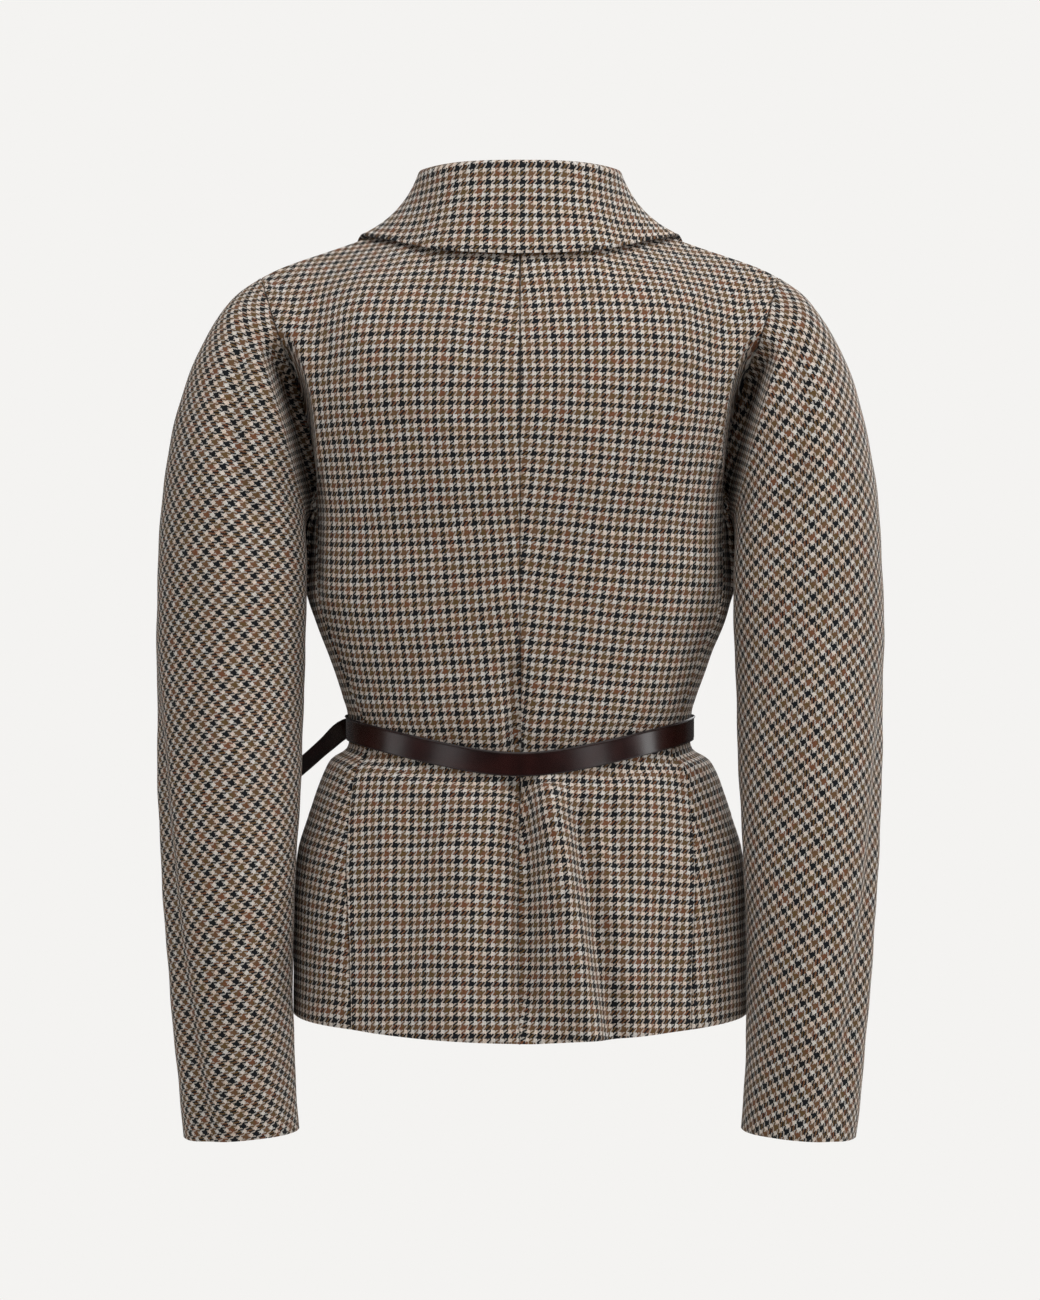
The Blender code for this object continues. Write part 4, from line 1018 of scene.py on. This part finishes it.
def collar_surface():
    """The middle of the whole collar: one row a section, from the stand's foot over the roll to the fall's edge."""
    necks, rolls, edges, sags = [], [], [], []
    for row in COLLAR_SECTIONS:
        row = dict(zip(COLLAR_COLUMNS, row))
        neck = back_neck if row["panel"] == "back" else front_neck
        place, out = rest_on_body(row["panel"], row["edge_x"], row["edge_z"])
        necks.append(neck(np.array(row["neck"])))
        rolls.append((row["roll_x"], row["roll_y"], row["roll_z"]))
        edges.append(place + out * COLLAR_CLEARANCE)
        sags.append(row["sag"])
    at = np.linspace(0, len(COLLAR_SECTIONS) - 1, COLLAR_SPANS + 1)
    necks, rolls, edges, sags = (through(np.array(v), at) for v in (necks, rolls, edges, sags))
    along = np.gradient(rolls, axis=0)
    along[0] = (1, 0, 0)
    fall_steps = np.concatenate([np.linspace(0.03, 0.86, 26), np.linspace(0.875, 1.0, 12)])
    rows = []
    for neck, roll, edge, way, sag in zip(necks, rolls, edges, along, sags):
        way = way / np.linalg.norm(way)
        up = roll - (neck + edge) / 2
        up = up - way * up.dot(way)
        up = up / np.linalg.norm(up)
        out = np.cross(up, way)
        out = out * np.sign(out.dot(edge - neck))
        centre = roll - up * COLLAR_ROLL_RADIUS
        inner, outer = centre - out * COLLAR_ROLL_RADIUS, centre + out * COLLAR_ROLL_RADIUS
        foot = neck + (inner - neck) / np.linalg.norm(inner - neck) * COLLAR_FOOT
        points = [mix(foot, inner, t) for t in np.linspace(0, 0.94, STAND_ROWS)]
        for turn in np.radians(np.linspace(0, 180, ROLL_ROWS)):
            points.append(centre + COLLAR_ROLL_RADIUS * (up * np.sin(turn) - out * np.cos(turn)))
        fall = edge - outer
        dip = unit(np.cross(way, fall))
        dip = dip * -np.sign(dip.dot(up))
        middle = (outer + edge) / 2 + dip * 2 * sag
        for t in fall_steps:
            points.append(outer * (1 - t) ** 2 + middle * 2 * t * (1 - t) + edge * t * t)
        rows.append(points)
    half = np.array(rows)
    return np.concatenate([half[:0:-1] * np.array([-1, 1, 1]), half])


def belt_place(turn, lift):
    """A point of the belt line at degrees from the centre back and a lift off the cloth, and the outward way."""
    turn = math.radians(turn)
    place = np.mean([ring_point(level, np.array(turn)) for level in BELT_LEVELS], 0)
    step = np.mean([ring_point(level, np.array(turn + 1e-3)) for level in BELT_LEVELS], 0) - place
    out = unit(np.array([step[1], -step[0], 0.0]))
    out = out * np.sign(out[:2].dot(place[:2]))
    return place + out * lift + np.array([0, 0, BELT_RISE]), out


def belt_line():
    """The strap's middle line from its end behind the buckle to the tail's tip, its twist and its width."""
    points = [belt_place(*row)[0] for row in BELT_FOLD]
    centre, out = belt_place(180.0, BUCKLE_LIFT)
    for turn in np.radians((-LOOP_TURN, 0, LOOP_TURN)):
        points.append(centre + np.array([-math.cos(turn), 0, 0]) * LOOP_RADIUS + out * LOOP_RADIUS * math.sin(turn))
    for (turn, lift), (next_turn, next_lift) in zip(BELT_PATH, BELT_PATH[1:]):
        spans = max(1, round(abs(next_turn - turn) / BELT_STEP))
        for k in range(spans):
            points.append(belt_place(mix(turn, next_turn, k / spans), mix(lift, next_lift, k / spans))[0])
    points.append(belt_place(*BELT_PATH[-1])[0])
    twists = [0.0] * len(points) + [row[3] for row in TAIL]
    widths = [1.0] * len(points) + list(TAIL_WIDTHS)
    points += [np.array(row[:3]) for row in TAIL]
    return np.array(points), np.radians(twists), np.array(widths)


def strap_section(half_width, half_thick, corner=3):
    """A strap's section with rounded edges, as (up, out) pairs."""
    r = half_thick * 0.9
    pairs = []
    for up, out, start in ((1, 1, 0), (1, -1, 90), (-1, -1, 180), (-1, 1, 270)):
        for k in range(corner + 1):
            turn = math.radians(start + 90 * k / corner)
            pairs.append((up * (half_width - r) + r * math.cos(turn), out * (half_thick - r) + r * math.sin(turn)))
    return pairs


def rounded_loop(half_a, half_b, corner, count):
    """A rectangle with rounded corners of so many points each, as (a, b) pairs."""
    pairs = []
    for side_a, side_b, start in ((1, 1, 0), (-1, 1, 90), (-1, -1, 180), (1, -1, 270)):
        for turn in np.radians(start + np.linspace(0, 90, count)):
            a = side_a * (half_a - corner) + corner * math.cos(turn)
            pairs.append((a, side_b * (half_b - corner) + corner * math.sin(turn)))
    return pairs


def swept(name, line, ups, sections, material, closed=False):
    """A solid along a line. Each section is (up, out) pairs, and its UV map gives metres along and across."""
    ways = np.gradient(line, axis=0)
    if closed:
        ways = np.roll(line, -1, axis=0) - np.roll(line, 1, axis=0)
    ways = unit(ways)
    ups = unit(ups - ways * np.sum(ups * ways, axis=1)[:, None])
    outs = np.cross(ways, ups)
    section = np.asarray(sections)
    points = line[:, None] + ups[:, None] * section[..., :1] + outs[:, None] * section[..., 1:]
    rows, columns = points.shape[:2]
    far = np.concatenate([[0], np.cumsum(np.linalg.norm(np.diff(line, axis=0), axis=1))])
    faces, corners = [], []
    for i in range(rows if closed else rows - 1):
        j = (i + 1) % rows
        for k in range(columns):
            m = (k + 1) % columns
            faces.append((i * columns + k, i * columns + m, j * columns + m, j * columns + k))
            start, end = far[i], far[j] if j else far[i] + np.linalg.norm(line[0] - line[-1])
            marks = ((start, i, k), (start, i, m), (end, j, m), (end, j, k))
            corners += [(along, section[row, at, 0]) for along, row, at in marks]
    if not closed:
        faces.append(tuple(range(columns))[::-1])
        corners += [(far[0], section[0, k, 0]) for k in range(columns)][::-1]
        faces.append(tuple((rows - 1) * columns + k for k in range(columns)))
        corners += [(far[-1], section[-1, k, 0]) for k in range(columns)]
    return add_piece(name, points.reshape(-1, 3), faces, material, {STRAP_MAP: corners})


class Value:
    """One socket of a material. Python's operators on it add Math nodes, and node() adds any other."""

    def __init__(self, tree, socket=None):
        self.tree, self.socket = tree, socket

    def node(self, kind, settings=(), inputs=(), output=0):
        """A new node's output, after its settings and then its sockets, each a value or a link."""
        made = self.tree.nodes.new(kind)
        for name, value in dict(settings).items():
            setattr(made, name, value)
        for name, value in dict(inputs).items():
            if isinstance(value, Value):
                self.tree.links.new(value.socket, made.inputs[name])
            else:
                made.inputs[name].default_value = value
        return Value(self.tree, made.outputs[output])

    def output(self, name):
        return Value(self.tree, self.socket.node.outputs[name])

    def maths(self, operation, *values):
        return self.node("ShaderNodeMath", {"operation": operation}, dict(enumerate(values)))

    def __add__(self, other):
        return self.maths("ADD", self, other)

    def __sub__(self, other):
        return self.maths("SUBTRACT", self, other)

    def __rsub__(self, other):
        return self.maths("SUBTRACT", other, self)

    def __mul__(self, other):
        return self.maths("MULTIPLY", self, other)

    def __mod__(self, other):
        return self.maths("FLOORED_MODULO", self, other)

    def __pow__(self, other):
        return self.maths("POWER", self, other)

    def __lt__(self, other):
        return self.maths("LESS_THAN", self, other)

    __radd__, __rmul__ = __add__, __mul__

    def floor(self):
        return self.maths("FLOOR", self)

    def fraction(self):
        return self.maths("FRACT", self)

    def absolute(self):
        return self.maths("ABSOLUTE", self)

    def clamped(self):
        return self.maths("MINIMUM", self.maths("MAXIMUM", self, 0.0), 1.0)

    def between(self, low, high):
        """0 below low, 1 above high, and an even slope between them."""
        return ((self - low) * (1 / (high - low))).clamped()

    def choose(self, other, share):
        """self where share is 0, other where it is 1."""
        return self + (other - self) * share

    def colours(self, first, second):
        """A colour between two, by this share."""
        first, second = (c if isinstance(c, Value) else (*c, 1) for c in (first, second))
        return self.node("ShaderNodeMix", {"data_type": "RGBA"}, {0: self, 6: first, 7: second}, 2)


def new_finish(name, sockets):
    """A material with plain values on its shader's sockets, a Value to build from and its shader node."""
    material = bpy.data.materials.new(name)
    material.use_nodes = True
    shader = material.node_tree.nodes["Principled BSDF"]
    for socket, value in sockets.items():
        shader.inputs[socket].default_value = value
    return material, Value(material.node_tree), shader


def tinted(colour, red, green, blue):
    """A colour with its three parts multiplied."""
    return tuple(c * k for c, k in zip(colour, (red, green, blue)))


def link(value, shader, socket):
    """Feeds a value to a shader's socket."""
    value.tree.links.new(value.socket, shader.inputs[socket])


def thick_and_thin(place):
    """Yarn numbers from a place in yarn widths, with each four dark or brown yarns thicker than the cream ones."""
    half, share = place % 8.0, THICK_SHARE
    thick = half.maths("MINIMUM", half, 8 * share) * (0.5 / share)
    thin = half.maths("MAXIMUM", half - 8 * share, 0.0) * (0.5 / (1 - share))
    return place - half + thick + thin


@functools.lru_cache(maxsize=None)
def wool_finish():
    """A two-and-two twill of dark, cream, brown and cream yarns, four of each, in warp and weft, with painted shade
    between the yarns in its colour.
    """
    settings = bpy.context.scene.jacket_cloth
    sockets = {"Specular IOR Level": 0.18, "Sheen Weight": 0.12, "Sheen Roughness": 0.5}
    sockets["Sheen Tint"] = (0.9, 0.85, 0.8, 1)
    material, start, shader = new_finish("houndstooth_wool", sockets)
    place = start.node("ShaderNodeUVMap", {"uv_map": WEAVE_MAP})
    axes = start.node("ShaderNodeSeparateXYZ", {}, {0: place})
    yarn = settings.repeat / 16

    def noise(scale, detail=2.0, output=0, roughness=0.5):
        sockets = {"Vector": place, "Scale": scale, "Detail": detail, "Roughness": roughness}
        return start.node("ShaderNodeTexNoise", {"noise_dimensions": "2D"}, sockets, output)

    def three_noises(scale, detail=2.0):
        return start.node("ShaderNodeSeparateColor", {}, {0: noise(scale, detail, output=1)})

    slow, quick = three_noises(18.0), three_noises(260.0)
    x = axes + (slow - 0.5) * 0.0022 + (quick - 0.5) * 0.00075
    y = axes.output("Y") + (slow.output("Green") - 0.5) * 0.0022 + (quick.output("Green") - 0.5) * 0.00075
    across, along = thick_and_thin(x * (1 / yarn)), thick_and_thin(y * (1 / yarn / WEFT_STRETCH))
    warp, weft = across.floor(), along.floor()
    warp_up = ((warp - weft) % 4.0) < 1.5

    def is_dark(number):
        return (number % 16.0) < 3.5

    def is_brown(number):
        return (((number - 8.0) % 16.0)) < 3.5

    dark = is_dark(weft).choose(is_dark(warp), warp_up)
    brown = is_brown(weft).choose(is_brown(warp), warp_up)
    number = (weft + 617.0).choose(warp, warp_up)
    luck = start.node("ShaderNodeTexWhiteNoise", {"noise_dimensions": "1D"}, {"W": number})
    fleck = noise(1500.0, detail=3.0, roughness=0.7)
    patch = three_noises(95.0, 1.0)
    cream_mix = luck.colours(settings.cream, tinted(settings.cream, 0.86, 0.90, 0.95))
    cream_mix = patch.between(0.35, 0.65).colours(cream_mix, tinted(settings.cream, 0.93, 0.84, 0.78))
    olive, rust = tinted(settings.brown, 0.80, 0.90, 0.68), tinted(settings.brown, 1.12, 0.84, 0.82)
    brown_mix = patch.output("Green").between(0.42, 0.62).colours(olive, settings.brown)
    brown_mix = patch.output("Blue").between(0.50, 0.66).colours(brown_mix, rust)
    dark_mix = luck.colours(settings.dark, tinted(settings.dark, 0.8, 1.0, 1.25))
    colour = dark.colours(brown.colours(cream_mix, brown_mix), dark_mix)

    def yarn_height(across_it, along_it):
        """A yarn's height, rounded across it and along the stretch where it lies on top."""
        return 1 - (across_it.fraction() * 2 - 1) ** 2 * 0.60 - (along_it % 4.0 - 1.0) ** 2 * 0.40

    warp_height, weft_height = yarn_height(across, along - warp + 1.0), yarn_height(along, across - weft - 2.0)
    relief = weft_height.choose(warp_height, warp_up)
    # Painted shade: each yarn's colour darkens from its crown to the hollows beside it, where shade falls
    painted_relief_light = relief.between(0.05, 0.85)
    coloured = dark.maths("MAXIMUM", dark, brown)
    covered = (((warp % 8.0) < 3.5) - ((weft % 8.0) < 3.5)).absolute()
    hair = noise(3200.0, detail=2.0)
    # Painted shade between the yarns, deep on cream and milder on dark and brown; cream is also darker where it crosses
    # a coloured yarn
    shade = ((painted_relief_light * 0.86 + 0.12) * (1 - 0.36 * covered)).choose(painted_relief_light * 0.45 + 0.50, coloured)
    shade = shade * (0.70 + 0.56 * fleck) * (0.88 + 0.22 * luck)
    nap = noise(70.0, detail=3.0)
    shade = shade * (0.92 + 0.16 * nap)
    # The painted shade and the yarns' random tone, multiplied into the base colour
    painted_shade_and_tone = start.node("ShaderNodeCombineColor", {}, {0: shade, 1: shade, 2: shade})
    colour = start.node(
        "ShaderNodeMix", {"data_type": "RGBA", "blend_type": "MULTIPLY"}, {0: 1.0, 6: colour, 7: painted_shade_and_tone}, 2,
    )
    link(colour, shader, "Base Color")
    height = relief * 0.7 + hair * 0.35 + nap * 0.5
    bump = start.node("ShaderNodeBump", {}, {"Strength": 0.55, "Distance": 0.00028, "Height": height})
    link(bump, shader, "Normal")
    link(0.86 + 0.10 * fleck, shader, "Roughness")
    return material


@functools.lru_cache(maxsize=None)
def leather_finish():
    """Smooth dark leather with fine grain, light wear and painted edges."""
    settings = bpy.context.scene.jacket_belt
    material, start, shader = new_finish("belt_leather", {"Specular IOR Level": 0.5})
    place = start.node("ShaderNodeUVMap", {"uv_map": STRAP_MAP})
    across = start.node("ShaderNodeSeparateXYZ", {}, {0: place}).output("Y").absolute()
    edge = across.between(STRAP_WIDTH / 2 - 0.0011, STRAP_WIDTH / 2 - 0.0003)
    crease = 1 - (across - (STRAP_WIDTH / 2 - 0.0017)).absolute().between(0.0, 0.0004)
    cloud = start.node("ShaderNodeTexNoise", {}, {"Vector": place, "Scale": 60.0, "Detail": 4.0})
    grain = start.node("ShaderNodeTexVoronoi", {}, {"Vector": place, "Scale": 1500.0})
    pores = start.node("ShaderNodeTexNoise", {}, {"Vector": place, "Scale": 700.0, "Detail": 3.0})
    deep, worn = tinted(settings.leather, 0.62, 0.62, 0.62), tinted(settings.leather, 1.35, 1.35, 1.35)
    colour = cloud.between(0.3, 0.7).colours(deep, worn)
    link(edge.colours(colour, settings.edge), shader, "Base Color")
    height = grain * 0.25 + pores * 0.6 - crease * 0.8
    bump = start.node("ShaderNodeBump", {}, {"Strength": 0.30, "Distance": 0.00012, "Height": height})
    link(bump, shader, "Normal")
    link(0.20 + 0.10 * cloud + 0.25 * edge, shader, "Roughness")
    return material


@functools.lru_cache(maxsize=None)
def brass_finish():
    """Polished brass with fine wear."""
    settings = bpy.context.scene.jacket_belt
    material, start, shader = new_finish("buckle_brass", {"Metallic": 1.0})
    place = start.node("ShaderNodeUVMap", {"uv_map": STRAP_MAP})
    wear = start.node("ShaderNodeTexNoise", {}, {"Vector": place, "Scale": 300.0, "Detail": 5.0})
    dull = tinted(settings.brass, 0.6, 0.6, 0.6)
    link(wear.between(0.35, 0.65).colours(dull, settings.brass), shader, "Base Color")
    link(0.20 + 0.22 * wear, shader, "Roughness")
    scratch = start.node("ShaderNodeTexNoise", {}, {"Vector": place, "Scale": 2500.0})
    bump = start.node("ShaderNodeBump", {}, {"Strength": 0.15, "Distance": 0.00005, "Height": scratch})
    link(bump, shader, "Normal")
    return material


def panel_piece(panel, word):
    """One body panel, dressed."""
    settings = bpy.context.scene.jacket_cloth
    side = 1 if word == "left" else -1
    made = cloth(word, settings.thickness, settings.seam_depth)
    first, last = {"back": (0, 1), "side": (1, 2), "front": (2, 3)}[panel]
    span = slice(made["marks"][first], made["marks"][last] + 1)
    outside, inside = (grid[:, span].copy() for grid in made["body"])
    flat = laid_flat(made["cut"]["body"][:, span])
    columns = flat.shape[1]
    line = {
        "back": (slice(None), 0),
        "side": (slice(None), columns // 2),
        "front": (slice(ROWS_ABOVE, None), columns - 1),
    }[panel]
    weave = on_grain(lengthened(flat, made["sunk"]["body"][:, span]), line, -side)
    for grid, gap in ((outside, SEAM_GAP), (inside, 0.0)):
        for edge, inner in ((0, 1), (-1, -2)):
            away = made["cut"]["body"][:, span][:, inner] - made["cut"]["body"][:, span][:, edge]
            grid[:, edge] += unit(away) * gap / 2
    mirror = np.array([side, 1, 1])
    free = ("low", "end") if panel == "front" else ("low",)
    name = f"wool_{panel}_{word}"
    piece = cloth_piece(name, outside * mirror, inside * mirror, weave, wool_finish(), side < 0, free=free)
    dress(piece, f"{panel}_{word}")
    width, length, area = flat_size(flat)
    return piece


def sleeve_piece(word):
    """One sleeve, cut open along the underarm for its flat cut."""
    settings = bpy.context.scene.jacket_cloth
    side = 1 if word == "left" else -1
    made = cloth(word, settings.thickness, settings.seam_depth)
    _, _, degrees = plain_sleeve()
    shift = int(np.argmin(np.abs(degrees - UNDERARM)))
    outside, inside = (np.roll(grid, -shift, axis=1) for grid in made["sleeve"])
    seamed = [column % len(degrees) for column in range(shift, shift + len(degrees) + 1)]
    flat = laid_flat(made["cut"]["sleeve"][:, seamed], rows=36, columns=29)
    outer = len(degrees) - shift
    flat_weave = lengthened(flat, made["sunk"]["sleeve"][:, seamed])
    weave = on_grain(flat_weave, (slice(None), outer), side, side * settings.sleeve_grain)
    mirror = np.array([side, 1, 1])
    name = f"wool_sleeve_{word}"
    piece = cloth_piece(name, outside * mirror, inside * mirror, weave, wool_finish(), side > 0, True, ("low",))
    dress(piece, f"sleeve_{word}")
    width, length, area = flat_size(flat)
    return piece


def make_pair(make, *names):
    """Makes a left and a right piece, and gives an operator's answer."""
    for word in ("left", "right"):
        make(*names, word)
    return {"FINISHED"}


class JACKET_OT_backs(bpy.types.Operator):
    """Make the two back panels, sewn down the centre back"""

    bl_idname = "jacket.backs"
    bl_label = "Back panels"

    def execute(self, context):
        return make_pair(panel_piece, "back")


class JACKET_OT_sides(bpy.types.Operator):
    """Make the two side panels under the armholes"""

    bl_idname = "jacket.sides"
    bl_label = "Side panels"

    def execute(self, context):
        return make_pair(panel_piece, "side")


class JACKET_OT_fronts(bpy.types.Operator):
    """Make the two fronts, the right one over the left"""

    bl_idname = "jacket.fronts"
    bl_label = "Fronts"

    def execute(self, context):
        return make_pair(panel_piece, "front")


class JACKET_OT_sleeves(bpy.types.Operator):
    """Make the two sleeves"""

    bl_idname = "jacket.sleeves"
    bl_label = "Sleeves"

    def execute(self, context):
        return make_pair(sleeve_piece)


class JACKET_OT_collar(bpy.types.Operator):
    """Make the turned-down collar with its topstitched edge"""

    bl_idname = "jacket.collar"
    bl_label = "Collar"

    def execute(self, context):
        settings = context.scene.jacket_cloth
        middle = collar_surface().transpose(1, 0, 2)
        out = -turn_of(middle)
        flat = laid_flat(middle, rows=22, columns=41)
        low = lengths(middle, 0)[-1] - lengths(middle, 0)
        along = lengths(middle, 1)
        ends = np.minimum(along, along[:, -1:] - along)
        inward = np.minimum(low, ends)
        stitched = np.exp(-(((inward - TOPSTITCH_IN) / TOPSTITCH_WIDTH) ** 2))
        plump = COLLAR_PLUMP * np.sin(np.pi * np.clip(inward / TOPSTITCH_IN, 0, 1))
        rise = plump - TOPSTITCH_DEPTH * stitched
        half = settings.collar_thickness / 2
        outside = middle + out * (half + rise)[..., None]
        inside = middle - out * half
        columns = flat.shape[1]
        weave = on_grain(flat, (slice(STAND_ROWS + ROLL_ROWS, None), columns // 2), -1)
        piece = cloth_piece(
            "wool_collar", outside, inside, weave, wool_finish(), True, free=("low", "start", "end"),
            bulge=COLLAR_EDGE_BULGE,
        )
        dress(piece, "collar")
        width, length, area = flat_size(flat)
        return {"FINISHED"}


class JACKET_OT_belt(bpy.types.Operator):
    """Make the leather strap and its keeper"""

    bl_idname = "jacket.belt"
    bl_label = "Belt and keeper"

    def execute(self, context):
        settings = context.scene.jacket_belt
        points, twists, widths = belt_line()
        at = np.linspace(0, len(points) - 1, (len(points) - 1) * 6 + 1)
        line, twists = through(points, at), through(twists, at)
        widths = np.interp(at, np.arange(len(points)), widths)
        ways = unit(np.gradient(line, axis=0))
        ups = unit(np.array([0, 0, 1.0]) - ways * ways[:, 2:])
        ups = ups * np.cos(twists)[:, None] + np.cross(ways, ups) * np.sin(twists)[:, None]
        sections = [strap_section(w * STRAP_WIDTH / 2, settings.strap_thickness / 2) for w in widths]
        strap = swept("leather_belt", line, ups, sections, leather_finish())
        dress(strap, "belt")

        middle, out = belt_place(KEEPER_TURN, KEEPER_LIFT)
        up = np.array([0, 0, 1.0])
        half_out = KEEPER_HALF_DEPTH + KEEPER_THICKNESS / 2
        half_up = STRAP_WIDTH / 2 + KEEPER_ROOM + KEEPER_THICKNESS / 2
        loop = np.array([middle + out * o + up * u for o, u in rounded_loop(half_out, half_up, KEEPER_CORNER, 6)])
        ups = np.tile(np.cross(out, up), (len(loop), 1))
        sections = [strap_section(KEEPER_WIDTH / 2, KEEPER_THICKNESS / 2)] * len(loop)
        keeper = swept("leather_keeper", loop, ups, sections, leather_finish(), True)
        dress(keeper, "belt_keeper")
        return {"FINISHED"}


class JACKET_OT_buckle(bpy.types.Operator):
    """Make the brass slide buckle, a frame with a middle bar"""

    bl_idname = "jacket.buckle"
    bl_label = "Buckle"

    def execute(self, context):
        centre, out = belt_place(180.0, BUCKLE_LIFT)
        loop = rounded_loop(BUCKLE_HALF_LENGTH, BUCKLE_HALF_HEIGHT, BUCKLE_CORNER, 8)
        ring = [(BUCKLE_BAR * math.cos(t), BUCKLE_BAR * math.sin(t)) for t in np.linspace(0, 2 * math.pi, 17)[:-1]]
        middle = [(0, z) for z in np.linspace(-BUCKLE_HALF_HEIGHT, BUCKLE_HALF_HEIGHT, 9)]
        wires = []
        for name, places, closed in (("brass_buckle", loop, True), ("bar", middle, False)):
            line = np.array([centre + np.array([x, 0, z]) for x, z in places])
            ups = np.tile(out, (len(line), 1))
            wires.append(swept(name, line, ups, [ring] * len(line), brass_finish(), closed))
        buckle, bar = wires
        with context.temp_override(active_object=buckle, selected_editable_objects=[buckle, bar]):
            bpy.ops.object.join()
        dress(buckle, "buckle")
        return {"FINISHED"}


def area_light(name, place, aim, power, size):
    lamp = bpy.data.lights.new(name, "AREA")
    lamp.energy, lamp.shape, lamp.size, lamp.size_y = power, "RECTANGLE", *size
    thing = bpy.data.objects.new(name, lamp)
    thing.location = place
    thing.rotation_euler = (Vector(aim) - Vector(place)).to_track_quat("-Z", "Y").to_euler()
    bpy.context.scene.collection.objects.link(thing)
    return thing


class JACKET_OT_studio(bpy.types.Operator):
    """Make the pale floor, the soft lights and the camera"""

    bl_idname = "jacket.studio"
    bl_label = "Studio"

    def execute(self, context):
        settings = context.scene.jacket_studio
        aim = Vector((0, 0, -0.325))
        turn, far = math.radians(2.0), settings.camera_distance
        lens = bpy.data.cameras.new("camera")
        lens.sensor_width = SENSOR_WIDTH
        lens.lens = SENSOR_WIDTH / 2 * CAMERA_DISTANCE / FRAME_HALF_WIDTH
        camera = bpy.data.objects.new("camera", lens)
        camera.location = aim + Vector((0, far * math.cos(turn), far * math.sin(turn)))
        camera.rotation_euler = (aim - camera.location).to_track_quat("-Z", "Y").to_euler()
        context.scene.collection.objects.link(camera)
        context.scene.camera = camera

        bpy.ops.mesh.primitive_circle_add(
            vertices=96, radius=2.4, fill_type="NGON", location=(0, 0, CAD_BOX[0].z - settings.floor_drop),
        )
        floor = context.object
        floor.name = "floor"
        material, _, _ = new_finish("pale_floor", {"Base Color": (*settings.pale, 1), "Roughness": 0.9})
        floor.data.materials.append(material)

        world = bpy.data.worlds.new("studio")
        world.use_nodes = True
        context.scene.world = world
        start = Value(world.node_tree)
        background = world.node_tree.nodes["Background"]
        background.inputs["Color"].default_value = (*settings.pale, 1)
        seen = start.node("ShaderNodeLightPath")
        link(seen * (1 - settings.fill) + settings.fill, background, "Strength")

        for name, x, y, z, power in (("light_left", 2.7, 1.1, 0.1, 0.5), ("light_right", -2.9, 0.9, -0.1, 1.4)):
            area_light(name, (x, y, z), (0, 0, -0.4), settings.side_light * power, (1.0, 1.9))
        for name, x, power in (("back_light_left", 1.4, 0.9), ("back_light_right", -1.4, 1.1)):
            area_light(name, (x, 2.5, 0.1), (0, 0, -0.4), settings.back_light * power, (0.7, 1.9))
        area_light("light_top", (-0.1, 0.9, 1.7), (0, 0, -0.1), settings.top_light, (2.0, 1.3))
        area_light("light_front", (-1.3, -2.6, 0.9), (0, 0, -0.4), settings.front_light, (1.6, 1.6))
        context.scene.view_settings.view_transform = "Standard"
        return {"FINISHED"}


MAKERS = (
    JACKET_OT_backs,
    JACKET_OT_sides,
    JACKET_OT_fronts,
    JACKET_OT_sleeves,
    JACKET_OT_collar,
    JACKET_OT_belt,
    JACKET_OT_buckle,
    JACKET_OT_studio,
)


class JACKET_PT_pieces(bpy.types.Panel):
    """The jacket's pieces and their settings"""

    bl_idname = "JACKET_PT_pieces"
    bl_label = "Houndstooth jacket"
    bl_space_type = "VIEW_3D"
    bl_region_type = "UI"
    bl_category = "Jacket"

    def draw(self, context):
        for maker in MAKERS:
            self.layout.operator(maker.bl_idname)
        for group in ("jacket_cloth", "jacket_belt", "jacket_studio"):
            settings = getattr(context.scene, group)
            for name in settings.bl_rna.properties.keys():
                if name not in ("rna_type", "name"):
                    self.layout.prop(settings, name)


GROUPS = {"jacket_cloth": ClothSettings, "jacket_belt": BeltSettings, "jacket_studio": StudioSettings}


def register():
    for made in (*GROUPS.values(), *MAKERS, JACKET_PT_pieces):
        bpy.utils.register_class(made)
    for name, group in GROUPS.items():
        setattr(bpy.types.Scene, name, bpy.props.PointerProperty(type=group))


def unregister():
    for name in GROUPS:
        delattr(bpy.types.Scene, name)
    for made in (JACKET_PT_pieces, *MAKERS[::-1], *GROUPS.values()):
        bpy.utils.unregister_class(made)


def main():
    register()
    for maker in MAKERS:
        group, name = maker.bl_idname.split(".")
        getattr(getattr(bpy.ops, group), name)()


if __name__ == "__main__":
    main()
